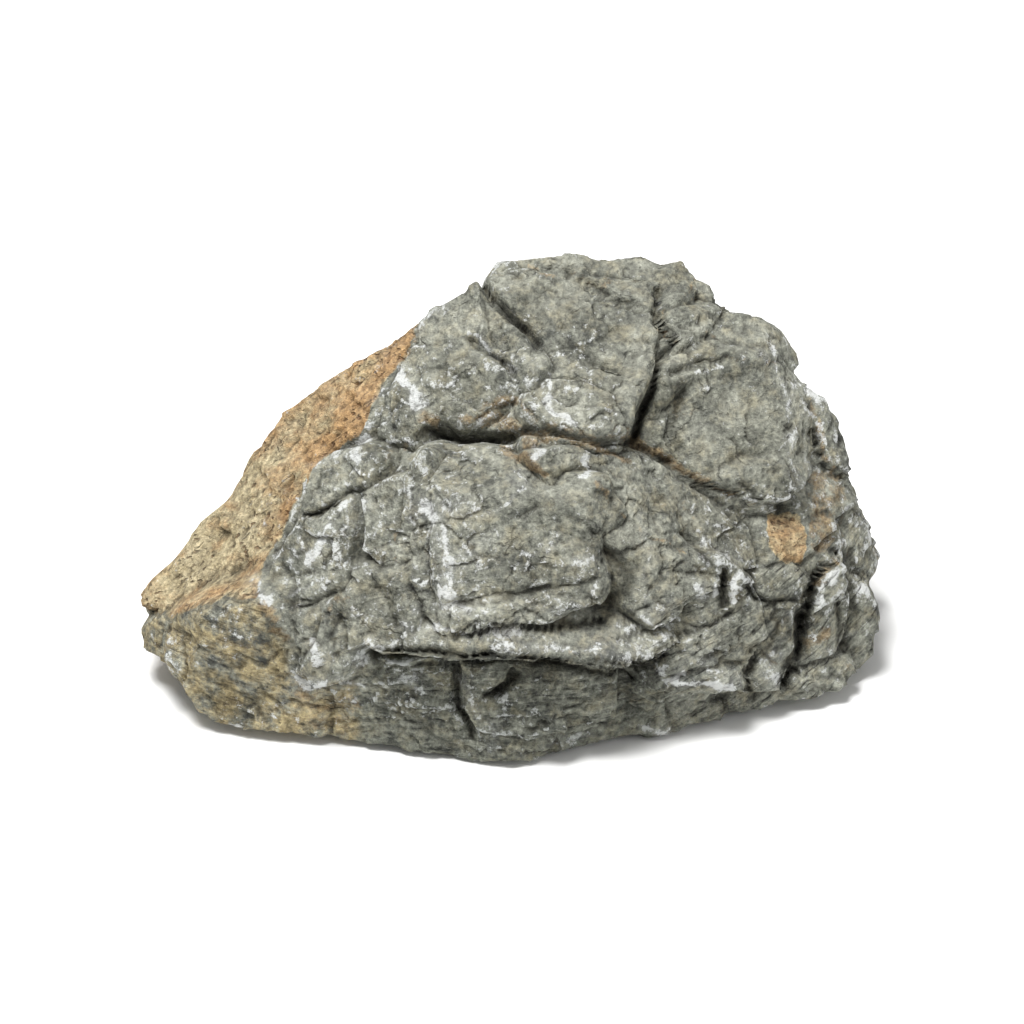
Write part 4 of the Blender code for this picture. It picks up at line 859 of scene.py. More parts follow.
def rock_distance(rays, core, axes):
    """How far the rock's surface is from its heart along each ray."""
    waves = np.stack([rough(rays * WARP_RADIUS, WARP_SIZE, 2, 5 + k) for k in range(3)], 1)
    bent = rays + waves * WARP_SHARE
    bent /= np.linalg.norm(bent, axis=1)[:, None]
    base = plane_exit(bent, core[0], core[1], EDGE_ROUNDING * 2)
    weight = np.full(len(rays), FILL_FLOOR)
    filled = base * FILL_FLOOR
    best = np.zeros(len(rays))
    second = np.zeros(len(rays))
    for item in BLOCKS:
        t, face, gap = block_exit(bent, item)
        share = np.exp(-np.maximum(gap, 0) / FILL_SPREAD)
        weight += share
        filled += share * face
        second = np.maximum(second, np.minimum(t, best))
        best = np.maximum(best, t)
    sunk = np.clip((rays[:, 2] - FILL_FULL_SLOPE) / FILL_SLOPE_FADE, 0, 1)
    fill = filled / weight - FILL_DEPTH * sunk
    second = np.maximum(second, np.minimum(fill, best))
    best = np.maximum(best, fill)
    strength = np.clip(noise(rays * best[:, None], SEAM_PATCH, 77) + 0.5, 0, 1)
    uneven = SEAM_LEAST + (1 - SEAM_LEAST) * strength
    best = best - SEAM_DEPTH * uneven * np.exp(-(best - second) / SEAM_WIDTH)
    best = best - crack_depth(HEART + bent * best[:, None], axes)
    best = np.minimum(best, outline_exit(rays, axes))
    points = HEART + rays * best[:, None]
    best = best + LUMP_HEIGHT * rough(points, LUMP_SIZE, 2, 31)
    best = best + BREAK_HEIGHT * breaks(break_places(points), BREAK_SIZE, 31)[0]
    return underside_exit(rays, best)


def neighbour_mean(points, edges, count):
    """The mean of the points that each point shares an edge with."""
    total = np.zeros_like(points)
    for k in range(3):
        total[:, k] += np.bincount(edges[:, 0], points[edges[:, 1], k], len(points))
        total[:, k] += np.bincount(edges[:, 1], points[edges[:, 0], k], len(points))
    return total / count[:, None]


def surface_points(rays, edges, core, axes):
    """Points of the surface, evenly spread also where it is steep."""
    count = np.bincount(edges.ravel(), minlength=len(rays))
    for _ in range(RELAX_STEPS):
        points = rays * rock_distance(rays, core, axes)[:, None]
        moved = 0.5 * points + 0.5 * neighbour_mean(points, edges, count)
        rays = moved / np.linalg.norm(moved, axis=1)[:, None]
    points = HEART + rays * rock_distance(rays, core, axes)[:, None]
    points[points[:, 2] < GROUND_SLACK, 2] = 0.0
    return points


def core_planes(axes):
    """Normals and distances of the planes that close the rock below its blocks."""
    planes = [leaning_plane(face, axes) for face in FRONT_PLANES]
    planes += [facing_plane(plane) for plane in BACK_PLANES]
    normals, rooms = underside_planes()
    normals = np.concatenate([np.array([p[0] for p in planes]), normals])
    return normals, np.concatenate([np.array([p[1] for p in planes]), rooms])


def cells(points, size, seed):
    """Scattered points, about one for each cube of the given size: the distance to the nearest one
    as a share of the size, and that one's own number from 0 to 1."""
    p = points / size + 1000.0
    base = np.floor(p).astype(np.int64)
    first = np.full(len(p), 9.0)
    own = np.zeros(len(p))
    for step in NEAR_CELLS:
        q = base + step
        spot = [hash01(q[:, 0], q[:, 1], q[:, 2], seed + k) for k in (1, 2, 3)]
        d = np.linalg.norm(np.stack(spot, 1) + q - p, axis=1)
        own = np.where(d < first, hash01(q[:, 0], q[:, 1], q[:, 2], seed + 9), own)
        first = np.minimum(first, d)
    return first, own


def inside(flat, area, fade):
    """1 inside an outline of the front view and 0 outside of it, fading over the given width."""
    return np.clip(0.5 - outline_distance(flat, np.array(area, float)) / fade, 0, 1)


def stroked(flat, points, strokes):
    """The strongest of the strokes at each point, each fading at the edges of its width, which
    swells and thins along it."""
    wander = np.stack([rough(points, 5.0, 2, 111), rough(points, 5.0, 2, 113)], 1)
    strayed = flat + wander
    swell = np.clip(1.0 + 1.3 * noise(points, 5.5, 115), 0.25, 2.2)
    total = np.zeros(len(flat))
    for path, width, strength in strokes:
        near = path_distance(strayed, path) / (width * swell)
        total = np.maximum(total, strength * np.exp(-near ** 3))
    return total


def ball_grid(steps):
    """A ball of unit rays from the six faces of a cube, each a grid of two parameters u and v: the
    ray points to (1, tan u, tan v) and its turned copies, u and v from -45 to 45 degrees. Returns
    the rays, with the seams merged, and the quads between them."""
    s = np.tan(np.linspace(-1, 1, steps + 1) * math.pi / 4)
    u, v = np.meshgrid(s, s, indexing="ij")
    one = np.ones_like(u)
    sides = [(one, u, v), (-one, v, u), (v, one, u), (u, -one, v), (u, v, one), (v, u, -one)]
    rays = np.concatenate([np.stack(side, -1).reshape(-1, 3) for side in sides])
    i = np.arange((steps + 1) ** 2).reshape(steps + 1, steps + 1)
    quads = np.stack([i[:-1, :-1], i[1:, :-1], i[1:, 1:], i[:-1, 1:]], -1).reshape(-1, 4)
    quads = np.concatenate([quads + k * len(i) ** 2 for k in range(6)])
    rays /= np.linalg.norm(rays, axis=1)[:, None]
    keys = np.round(rays * 1e6).astype(np.int64)
    _, first, index = np.unique(keys, axis=0, return_index=True, return_inverse=True)
    return rays[first], index.reshape(-1)[quads]


def quad_edges(quads):
    """Each edge of the quads once, as pairs of points."""
    pairs = np.concatenate([quads[:, [0, 1]], quads[:, [1, 2]], quads[:, [2, 3]], quads[:, [3, 0]]])
    return np.unique(np.sort(pairs, axis=1), axis=0)


def surface_normals(points, quads):
    """The normal at each point: the sum of the cross products of the diagonals of its quads."""
    p = points[quads]
    n = np.cross(p[:, 2] - p[:, 0], p[:, 3] - p[:, 1])
    total = np.zeros_like(points)
    for k in range(3):
        for corner in range(4):
            total[:, k] += np.bincount(quads[:, corner], n[:, k], len(points))
    return total / np.maximum(np.linalg.norm(total, axis=1), 1e-12)[:, None]


def bulge(points, normals, edges, count, steps):
    """How far each point stands out, in mm, from the same surface smoothed by so many steps."""
    smooth = points
    for _ in range(steps):
        smooth = 0.5 * smooth + 0.5 * neighbour_mean(smooth, edges, count)
    return ((points - smooth) * normals).sum(1)


def bed_lips(level, thickness, points, seed):
    """Beds of stone, as thick as given, along a level in mm: 1 at the lip at the foot of each bed,
    falling to 0 at its top, more or less from bed to bed and along each of them."""
    level = level / thickness + 0.8 * noise(points, 15.0, seed) + 0.15 * noise(points, 4.0, seed + 1)
    number = np.floor(level)
    share = level - number
    still = np.zeros(len(points))
    own = hash01(number + 1000, still, still, seed + 2)
    along = np.clip(0.55 + 1.2 * noise(points + own[:, None] * 90, 17.0, seed + 3), 0, 1)
    lip = np.minimum(share / 0.16, 1) * (1 - share) ** 1.2
    return lip * (0.3 + 0.7 * own) * along


def bed_levels(points, seen):
    """Levels, in mm, that the beds follow: in the walls and the right end, in the bulk, in the
    flank, and at the sides and the back."""
    a = seen[:, 0]
    c = seen[:, 1]
    wall = c - 0.009 * np.maximum(a - 8, 0) ** 2
    bulk = c + 0.30 * (a + 43) - 0.004 * (a + 60) ** 2
    flank = FLANK_BEDS[0] * c - FLANK_BEDS[1] * a
    behind = points[:, 2] + 0.12 * points[:, 0]
    return {"wall": wall, "bulk": bulk, "flank": flank, "behind": behind}


def bed_relief(points, seen, masks):
    """Height, in mm, of the beds in the walls, the right end, the bulk, the flank and the back."""
    levels = bed_levels(points, seen)
    height = np.zeros(len(points))
    for level, most, thickness, seed, area in BEDS:
        height += most * bed_lips(levels[level], thickness, points, seed) * masks[area]
    return height


def fine_relief(points, seen, masks, edge):
    """Height, in mm, of the small shapes of the surface: beds, broken facets, grain, pits, chips."""
    bent = break_places(points)
    smooth = 1 - 0.62 * masks["calm"]
    _, large_gap = breaks(bent, BREAK_SIZE, 31)
    middle, middle_gap = breaks(bent, 5.2, 41)
    small, _ = breaks(bent, 2.4, 51)
    height = 0.34 * middle + 0.12 * small
    split = np.clip(noise(points, 14.0, 57) * 2.4 - 0.25, 0, 1)
    height -= 0.7 * split * np.exp(-(large_gap / 0.05) ** 2)
    height -= 0.25 * split * np.exp(-(middle_gap / 0.10) ** 2)
    height *= smooth * (1 - 0.85 * masks["flank"]) * (1 - 0.4 * masks["bulk"])
    height += (0.14 + 0.12 * masks["flank"]) * rough(points, 1.8, 2, 61)
    near, own = cells(points, 3.8, 65)
    height -= 0.7 * np.exp(-(near / 0.20) ** 2) * (own > 0.8) * (1 - masks["flank"])
    near, own = cells(points, 1.9, 71)
    height -= 0.25 * np.exp(-(near / 0.30) ** 2) * (own > 0.7) * (1 - masks["bulk"])
    along = FLANK_BEDS[0] * seen[:, 0] + FLANK_BEDS[1] * seen[:, 1]
    across = FLANK_BEDS[1] * seen[:, 0] - FLANK_BEDS[0] * seen[:, 1]
    streak = np.column_stack([along / 2.6, across, seen[:, 2] * 0.3])
    pits = np.clip(noise(streak, 1.5, 81) * 2.4 - 0.8, 0, 1)
    height -= 0.9 * pits * masks["flank"]
    chip = np.clip(noise(points, 3.4, 91) * 1.6 - 0.2, 0, 1)
    height -= 0.9 * chip * np.clip(edge / 0.35, 0, 1)
    return height + bed_relief(points, seen, masks) - RELIEF_SINK


def surface_masks(points, seen):
    """Where the wall, the bulk, the flank and the front are, from 0 to 1 at each point."""
    front = np.clip((seen[:, 2] - 6) / 8, 0, 1)
    wander = np.stack([rough(points, 5.0, 2, 101), rough(points, 5.0, 2, 102)], 1)
    flat = seen[:, :2] + 0.8 * wander
    right = seen[:, 0] - 8
    low = np.clip((11 - seen[:, 1] + 0.005 * right ** 2) / 6, 0, 1) * np.clip((right - 18) / 8, 0, 1)
    patch = np.clip(noise(points, 26.0, 219) * 1.8 + 0.6, 0, 1)
    return {
        "low": low * front,
        "behind": (1 - front) * patch,
        "front": front,
        "flat": flat,
        "wall": inside(flat, WALL_AREA, 4.0) * front,
        "bulk": inside(flat, BULK_AREA, 2.0) * front,
        "flank": inside(flat, FLANK_AREA, 1.2) * np.clip((seen[:, 2] - 2) / 8, 0, 1),
        "calm": np.maximum.reduce([inside(flat, area, 3.0) for area in CALM_AREAS]) * front,
    }


def rock_surface(steps):
    """The rock's points, quads and the values that its finish reads, one value for each point."""
    axes = view_axes(0.0, FRONT_VIEW_ELEVATION)
    core = core_planes(axes)
    for number, chunk in enumerate(CHUNKS):
        chunk_block(number, chunk, core)
    for item in BLOCKS:
        prepare(item)
    rays, quads = ball_grid(steps)
    rays = rays + np.array(DENSER_TOWARDS)
    rays /= np.linalg.norm(rays, axis=1)[:, None]
    edges = quad_edges(quads)
    count = np.bincount(edges.ravel(), minlength=len(rays))
    points = surface_points(rays, edges, core, axes)

    seen = points @ axes.T
    masks = surface_masks(points, seen)
    normals = surface_normals(points, quads)
    edge = bulge(points, normals, edges, count, CHIP_STEPS)
    rays = points - HEART
    reach = np.linalg.norm(rays, axis=1)
    rays /= reach[:, None]
    resting = points[:, 2] < GROUND_SLACK
    facing = np.clip((normals * rays).sum(1) * 2.2 - 0.65, 0.0, 1)
    relief = fine_relief(points, seen, masks, edge) * facing * (1 - resting)
    points = points + rays * relief[:, None]
    loose = (STEEP_SMOOTH_SHARE * (1 - facing) * (1 - resting))[:, None]
    for _ in range(STEEP_SMOOTH_STEPS):
        points = points + loose * (neighbour_mean(points, edges, count) - points)
    cracks = fine_crack_depth(masks, seen) * np.clip(normals @ axes[2] * 3 - 0.3, 0, 1)
    deepest = np.maximum(cracks, crack_depth(points, axes))
    points = points - axes[2] * (cracks * (1 - resting))[:, None]
    points[:, 2] = np.maximum(points[:, 2], 0.0)

    normals = surface_normals(points, quads)
    values = finish_values(points, seen, masks, normals, edges, count)
    levels = bed_levels(points, seen)
    level = np.where(masks["bulk"] > 0.5, levels["bulk"], levels["wall"])
    level = np.where(masks["flank"] > 0.5, levels["flank"], level)
    values["level"] = np.where(masks["front"] < 0.5, levels["behind"], level)
    shown = np.maximum.reduce([masks["wall"], masks["low"], masks["bulk"], masks["flank"]])
    values["beds"] = np.clip(np.maximum(shown, masks["behind"]) * 2 - 1, 0, 1)
    # painted shade in the cracks, darker the deeper they are cut
    values["crack"] = np.clip((deepest - 0.7) / 1.5, 0, 1)
    return points, quads, values


def fine_crack_depth(masks, seen):
    """Depth, in mm, of the small cracks of the front."""
    depth = np.zeros(len(seen))
    front = seen[:, 2] > CRACK_BACK
    flat = masks["flat"][front]
    for path, width, deep in FINE_CRACKS:
        d = path_distance(flat, path)
        depth[front] = np.maximum(depth[front], deep * np.exp(-(d / width) ** FINE_CRACK_SHARPNESS))
    return depth


def finish_values(points, seen, masks, normals, edges, count):
    """What the finish reads at each point, from 0 to 1: how worn its edges are, how deep it lies for
    painted shade in hollows, where the low wall with its painted shade is, and how much ochre, orange,
    brown, rust, calcite with painted highlight, dust, and painted shadow with weathered darkening it has."""
    flat = masks["flat"]
    front = masks["front"]
    small = bulge(points, normals, edges, count, SMALL_STEPS)
    middle = bulge(points, normals, edges, count, MIDDLE_STEPS)
    broad = bulge(points, normals, edges, count, BROAD_STEPS)
    side = 1 - front
    values = {}
    values["wear"] = 0.5 * np.clip(small / 0.16, 0, 1) + 0.6 * np.clip(middle / 0.8, 0, 1)
    values["dust"] = np.clip((normals[:, 2] - 0.35) / 0.5, 0, 1)
    # painted shade in hollows: darker the further a point lies below its smoothed surface
    deep = 0.6 * np.clip(-small / 0.16, 0, 1) + 0.6 * np.clip(-middle / 0.7, 0, 1)
    values["hollow"] = deep + 0.7 * np.clip(-broad / 2.2, 0, 1)
    values["patchy"] = np.clip(rough(points, 16.0, 2, 301) * 0.9 + 0.45, 0, 1)

    hidden = side * np.clip(rough(points, 34.0, 2, 321) * 2.2 + (-points[:, 0] - 25) / 40, 0, 1)
    patch = inside(flat, ORANGE_AREA, 0.6) * front
    values["ochre"] = np.maximum.reduce([masks["flank"], hidden, patch])
    edge_of_flank = np.minimum(outline_distance(flat, np.array(FLANK_AREA, float)), 0)
    rim = 0.75 * np.exp(edge_of_flank / 4.0)
    high = np.clip((seen[:, 1] - 26) / 34, 0, 1)
    orange = np.clip(0.02 + rim + 0.5 * high, 0, 1) * masks["flank"]
    values["orange"] = np.maximum.reduce([orange, 0.5 * hidden, 0.55 * patch])
    values["brown"] = masks["bulk"] * 0.9 + 0.35 * side * np.clip(rough(points, 24.0, 2, 331) + 0.4, 0, 1)

    rust = stroked(flat, points, STAINS) * front
    rust = np.maximum(rust, 0.75 * inside(flat, GOLD_AREA, 1.6) * front)
    rust = np.maximum(rust, 0.60 * inside(flat, TAN_AREA, 4.0) * front)
    behind = side * np.clip(rough(points, 20.0, 2, 311) * 1.5 - 0.35, 0, 1)
    values["rust"] = np.maximum(rust, 0.8 * behind)
    marks = side * np.clip(values["wear"] * 1.3 * np.clip(rough(points, 12.0, 2, 341) + 0.4, 0, 1), 0, 1)
    # white scuffs, with a painted highlight along the boulder's left edge
    values["scuff"] = np.maximum(stroked(flat, points, SCUFFS_AND_HIGHLIGHTS) * front, marks)
    # the low wall, which the finish darkens as painted shade
    values["wall"] = masks["wall"]
    # painted shadow and weathered darkening, from the strokes
    values["shade"] = stroked(flat, points, SHADOW_AND_WEATHER_STROKES) * front
    return {name: np.clip(value, 0, 1) for name, value in values.items()}


def mesh_object(name, points, quads, values):
    """A mesh object from points in millimetres, quads and one float attribute for each value."""
    mesh = bpy.data.meshes.new(name)
    mesh.vertices.add(len(points))
    mesh.vertices.foreach_set("co", (points * MM).astype(np.float32).ravel())
    mesh.loops.add(quads.size)
    mesh.loops.foreach_set("vertex_index", quads.astype(np.int32).ravel())
    mesh.polygons.add(len(quads))
    mesh.polygons.foreach_set("loop_start", np.arange(0, quads.size, 4, dtype=np.int32))
    mesh.update(calc_edges=True)
    mesh.validate()
    for key, value in values.items():
        attribute = mesh.attributes.new(key, "FLOAT", "POINT")
        attribute.data.foreach_set("value", value.astype(np.float32))
    obj = bpy.data.objects.new(name, mesh)
    bpy.context.scene.collection.objects.link(obj)
    return obj


class NodeMaker:
    """Adds shader nodes to a tree and links them, so that a finish reads as a list of steps."""

    def __init__(self, tree):
        self.tree = tree

    def add(self, kind, inputs=None, **settings):
        """A node with its settings, and its inputs set to a value or linked to a socket."""
        node = self.tree.nodes.new(kind)
        for key, value in settings.items():
            setattr(node, key, value)
        for key, value in (inputs or {}).items():
            self.put(node.inputs[key], value)
        return node

    def put(self, socket, value):
        """Links a socket to another, or sets its value."""
        if isinstance(value, bpy.types.NodeSocket):
            self.tree.links.new(value, socket)
        elif socket.type == "RGBA":
            socket.default_value = (value[0], value[1], value[2], 1.0)
        else:
            socket.default_value = value

    def value(self, name):
        """The float attribute of that name."""
        return self.add("ShaderNodeAttribute", attribute_name=name).outputs["Fac"]

    def math(self, operation, first, second):
        """A math node's result."""
        return self.add("ShaderNodeMath", {0: first, 1: second}, operation=operation).outputs[0]

    def times(self, first, second):
        """One value times another."""
        return self.math("MULTIPLY", first, second)

    def plus(self, first, second):
        """One value plus another."""
        return self.math("ADD", first, second)

    def minus(self, first, second):
        """One value less another."""
        return self.math("SUBTRACT", first, second)

    def vector_math(self, operation, first, second):
        """A vector math node's result."""
        return self.add("ShaderNodeVectorMath", {0: first, 1: second}, operation=operation).outputs[0]

    def span(self, value, low, high, to_low=0.0, to_high=1.0):
        """A value stretched from one range to another and kept inside of it."""
        inputs = {"Value": value, "From Min": low, "From Max": high, "To Min": to_low, "To Max": to_high}
        return self.add("ShaderNodeMapRange", inputs).outputs["Result"]

    def blend(self, share, first, second, mode="MIX"):
        """Two colours mixed by a share."""
        node = self.add("ShaderNodeMix", data_type="RGBA", blend_type=mode)
        self.put(node.inputs[0], share)
        self.put(node.inputs[6], first)
        self.put(node.inputs[7], second)
        return node.outputs[2]

    def noise(self, where, size, detail, roughness):
        """Noise from 0 to 1 with waves of a size in millimetres."""
        inputs = {"Vector": where, "Scale": 1.0 / size, "Detail": detail, "Roughness": roughness}
        return self.add("ShaderNodeTexNoise", inputs).outputs["Fac"]

    def borders(self, where, size):
        """Distance to the borders of scattered cells of a size in millimetres, as a share of it."""
        inputs = {"Vector": where, "Scale": 1.0 / size, "Randomness": 1.0}
        node = self.add("ShaderNodeTexVoronoi", inputs, feature="DISTANCE_TO_EDGE")
        return node.outputs["Distance"]

    def strayed(self, where, size, reach):
        """Places shifted by noise of a size, by up to the given reach, in millimetres."""
        inputs = {"Vector": where, "Scale": 1.0 / size, "Detail": 3.0, "Roughness": 0.6}
        shift = self.add("ShaderNodeTexNoise", inputs).outputs["Color"]
        centred = self.vector_math("SUBTRACT", shift, (0.5, 0.5, 0.5))
        scaled = self.vector_math("MULTIPLY", centred, (reach * 2, reach * 2, reach * 2))
        return self.vector_math("ADD", where, scaled)

    def along_beds(self, share):
        """Places read by the level of the beds, in millimetres, and only by a share along them."""
        where = self.millimetres((share, share, share))
        across = self.add("ShaderNodeCombineXYZ", {"Z": self.value("level")}).outputs[0]
        return self.vector_math("ADD", where, across)

    def millimetres(self, stretch=(1.0, 1.0, 1.0), turn=(0.0, 0.0, 0.0)):
        """The place on the object, in millimetres, turned and then stretched."""
        where = self.add("ShaderNodeTexCoord").outputs["Object"]
        scale = tuple(1000.0 * s for s in stretch)
        inputs = {"Vector": where, "Rotation": turn, "Scale": scale}
        return self.add("ShaderNodeMapping", inputs, vector_type="POINT").outputs["Vector"]


def limestone_material(finish):
    """Weathered limestone: grey grain with pale and dark specks, calcite on worn edges and scuffs, a
    painted highlight along the boulder's left edge, ochre and rust where the rock is stained, painted
    shade in hollows, cracks and on the low wall, and painted shadow with weathered darkening in patches."""
    material = bpy.data.materials.new("limestone")
    material.use_nodes = True
    tree = material.node_tree
    shader = tree.nodes["Principled BSDF"]
    n = NodeMaker(tree)
    where = n.millimetres()

    # the grey stone
    cloud = n.noise(where, 12.0, 5.0, 0.6)
    grain = n.noise(where, 2.2, 6.0, 0.75)
    fine = n.noise(where, 0.7, 3.0, 0.65)
    layer = n.noise(n.along_beds(0.18), 1.2, 3.0, 0.6)
    laid = n.value("beds")
    banded = n.times(laid, n.minus(layer, 0.5))
    mixed = n.plus(n.times(cloud, 0.4), n.times(grain, 0.6))
    mixed = n.plus(mixed, n.times(banded, 0.35))
    tone = n.span(mixed, 0.40, 0.62)
    colour = n.blend(n.span(tone, 0.0, 0.5), finish.grey_dark, finish.grey_middle)
    colour = n.blend(n.span(tone, 0.5, 1.0), colour, finish.grey_light)
    warm = n.span(n.noise(where, 5.0, 4.0, 0.65), 0.48, 0.68)
    colour = n.blend(n.times(warm, 0.55), colour, finish.warm_grey)

    # speckles, hair cracks and gaps between beds
    speckle = n.span(n.noise(where, 1.25, 3.0, 0.7), 0.36, 0.64, 0.66, 1.32)
    strayed = n.strayed(where, 4.0, 2.2)
    rare = n.span(n.noise(where, 8.0, 2.0, 0.5), 0.56, 0.66, 0.0, 0.6)
    hair = n.times(n.span(n.borders(strayed, 8.0), 0.04, 0.0), rare)
    bed = n.times(laid, n.span(layer, 0.37, 0.26))
    lines = n.math("MAXIMUM", hair, bed)

    # brown bulk
    brown_grain = n.plus(n.times(grain, 0.6), n.times(layer, 0.4))
    brown_tone = n.blend(n.span(brown_grain, 0.38, 0.60), finish.brown_dark, finish.brown_light)
    brown_patch = n.span(n.noise(where, 6.0, 5.0, 0.7), 0.40, 0.58)
    brown_share = n.times(n.value("brown"), brown_patch)
    colour = n.blend(brown_share, colour, brown_tone)

    # ochre flank, streaked along its beds
    streaked = n.millimetres((0.5, 1.0, 1.0), (0.0, math.radians(46.0), 0.0))
    streak = n.noise(streaked, 1.5, 5.0, 0.75)
    pale = n.blend(n.span(streak, 0.38, 0.62), finish.ochre_grey, finish.ochre_pale)
    orange = n.blend(n.span(streak, 0.36, 0.60), finish.ochre_dark, finish.ochre)
    wander = n.minus(n.noise(streaked, 7.0, 5.0, 0.65), 0.5)
    orange_edge = n.plus(n.value("orange"), n.times(wander, 2.6))
    ochre = n.blend(n.span(orange_edge, 0.20, 0.80), pale, orange)
    holes = n.noise(streaked, 1.25, 1.5, 0.5)
    rows = n.span(n.noise(streaked, 8.0, 2.0, 0.5), 0.46, 0.60)
    holes = n.times(n.span(holes, 0.41, 0.32), n.times(rows, n.value("ochre")))
    ochre = n.blend(n.times(holes, 0.8), ochre, finish.ochre_dark, "MULTIPLY")
    ochre_edge = n.plus(n.value("ochre"), n.times(n.minus(grain, 0.5), 1.4))
    colour = n.blend(n.span(ochre_edge, 0.35, 0.60), colour, ochre)

    # rust and golden stains
    spread = n.span(n.noise(where, 2.6, 5.0, 0.7), 0.34, 0.66)
    rust_share = n.minus(n.plus(n.value("rust"), n.times(spread, 0.8)), 0.85)
    rust_share = n.span(rust_share, 0.0, 0.55, 0.0, 0.62)
    rust = n.blend(n.span(fine, 0.38, 0.60), finish.rust, finish.gold)
    colour = n.blend(rust_share, colour, rust)

    # dark specks
    dark_speck = n.span(n.noise(where, 1.4, 5.0, 0.7), 0.38, 0.28, 0.0, 0.6)
    colour = n.blend(dark_speck, colour, finish.pit)

    # calcite in specks, on scuffs and on worn edges, and a painted highlight along the boulder's left
    # edge
    bloom = n.span(n.noise(where, 2.4, 6.0, 0.78), 0.32, 0.68)
    worn = n.times(n.value("wear"), n.span(n.value("patchy"), 0.2, 0.8, 0.15, 0.5))
    ground = n.span(n.value("patchy"), 0.0, 1.0, 0.08, 0.26)
    cover = n.math("MAXIMUM", n.times(n.value("scuff"), 0.88), n.plus(worn, ground))
    bare = n.minus(1.0, n.times(n.value("ochre"), 0.45))
    cover = n.times(cover, bare)
    white = n.span(n.plus(bloom, cover), 0.95, 1.20, 0.0, 0.82)
    haze = n.times(n.value("scuff"), 0.16)
    dust = n.times(n.value("dust"), n.span(cloud, 0.35, 0.60, 0.02, 0.12))
    # painted shadow and weathered darkening
    shade = n.times(n.value("shade"), n.span(grain, 0.30, 0.70, 1.0, 0.5))
    colour = n.blend(shade, colour, finish.shade, "MULTIPLY")
    colour = n.blend(1.0, colour, speckle, "MULTIPLY")
    colour = n.blend(dust, colour, finish.dust)
    colour = n.blend(n.math("MAXIMUM", white, haze), colour, finish.calcite)
    colour = n.blend(n.times(lines, 0.75), colour, finish.hollow, "MULTIPLY")

    # painted shade in hollows and cracks, and on the low wall
    # painted shade in the cracks, broken up by the cloud noise
    patchy_crack_shade = n.times(n.value("crack"), n.span(cloud, 0.35, 0.55, 1.0, 0.7))
    deep = n.math("MAXIMUM", n.times(n.value("hollow"), 0.8), patchy_crack_shade)
    colour = n.blend(n.times(deep, 0.9), colour, finish.hollow, "MULTIPLY")
    # painted shade on the low wall under the ledge
    colour = n.blend(n.times(n.value("wall"), 0.6), colour, finish.wall_painted_shade, "MULTIPLY")

    n.put(shader.inputs["Base Color"], colour)
    n.put(shader.inputs["Roughness"], n.span(grain, 0.3, 0.7, 0.95, 0.80))
    shader.inputs["Specular IOR Level"].default_value = 0.3

    relief = n.plus(grain, n.times(fine, 0.4))
    relief = n.minus(relief, n.times(dark_speck, 0.45))
    relief = n.plus(relief, n.times(speckle, 0.35))
    relief = n.minus(relief, n.times(lines, 0.7))
    relief = n.plus(relief, n.times(n.times(streak, n.value("ochre")), 0.8))
    relief = n.minus(relief, n.times(holes, 1.4))
    relief = n.plus(relief, n.times(banded, 1.2))
    bump = n.add("ShaderNodeBump", {"Strength": 1.0, "Distance": BUMP_DISTANCE, "Height": relief})
    n.put(shader.inputs["Normal"], bump.outputs["Normal"])
    return material


def plain_material(name, colour, roughness):
    """The floor's matt paper, with a slight unevenness."""
    material = bpy.data.materials.new(name)
    material.use_nodes = True
    shader = material.node_tree.nodes["Principled BSDF"]
    n = NodeMaker(material.node_tree)
    uneven = n.noise(n.millimetres(), 40.0, 2.0, 0.5)
    shade = tuple(0.985 * c for c in colour)
    n.put(shader.inputs["Base Color"], n.blend(uneven, colour, shade))
    shader.inputs["Roughness"].default_value = roughness
    return material


def colour_property(name, description, default):
    """A colour that a user may change."""
    return FloatVectorProperty(name=name, description=description, default=default, size=3,
                               min=0.0, max=1.0, subtype="COLOR")


class RockShape(bpy.types.PropertyGroup):
    """How finely the rock's surface is made."""

    steps: IntProperty(name="Steps", description="Grid steps along each edge of the cube",
                       default=128, min=24, max=128)


class RockFinish(bpy.types.PropertyGroup):
    """The colours of the limestone."""

    grey_dark: colour_property("Dark grey", "The stone's darkest grain", (0.085, 0.088, 0.076))
    grey_middle: colour_property("Middle grey", "The stone's usual grey", (0.226, 0.232, 0.192))
    grey_light: colour_property("Light grey", "The stone's palest grain", (0.385, 0.39, 0.325))
    warm_grey: colour_property("Warm grey", "Faint warm patches", (0.305, 0.275, 0.18))
    brown_dark: colour_property("Dark brown", "The bulk's dark grain", (0.165, 0.127, 0.067))
    brown_light: colour_property("Light brown", "The bulk's pale grain", (0.54, 0.445, 0.24))
    ochre: colour_property("Ochre", "The flank's orange parts", (0.54, 0.345, 0.165))
    ochre_dark: colour_property("Dark ochre", "Dark streaks of the orange parts", (0.27, 0.155, 0.065))
    ochre_pale: colour_property("Pale ochre", "The flank's pale parts", (0.65, 0.55, 0.345))
    ochre_grey: colour_property("Grey ochre", "Dark streaks of the pale parts", (0.31, 0.25, 0.14))
    rust: colour_property("Rust", "Dark stain in the cracks", (0.22, 0.13, 0.055))
    gold: colour_property("Gold", "Pale stain in the cracks", (0.44, 0.32, 0.165))
    # also paints the highlight along the boulder's left edge
    calcite: colour_property("Calcite", "White scuffs and worn edges", (0.72, 0.735, 0.72))
    dust: colour_property("Dust", "Pale dust on faces that look up", (0.60, 0.585, 0.50))
    pit: colour_property("Pit", "Small dark specks", (0.045, 0.042, 0.034))
    # painted shade in hollows and cracks; the same colour also darkens hair cracks and gaps between beds
    hollow: colour_property("Hollow", "What hollows are darkened by", (0.12, 0.11, 0.09))
    # painted shadow and weathered darkening
    shade: colour_property("Shade", "What weathered parts are darkened by", (0.50, 0.49, 0.44))
    # painted shade on the low wall, which faces down under the ledge
    wall_painted_shade: colour_property("Wall shade", "What the low wall is darkened by", (0.62, 0.64, 0.62))


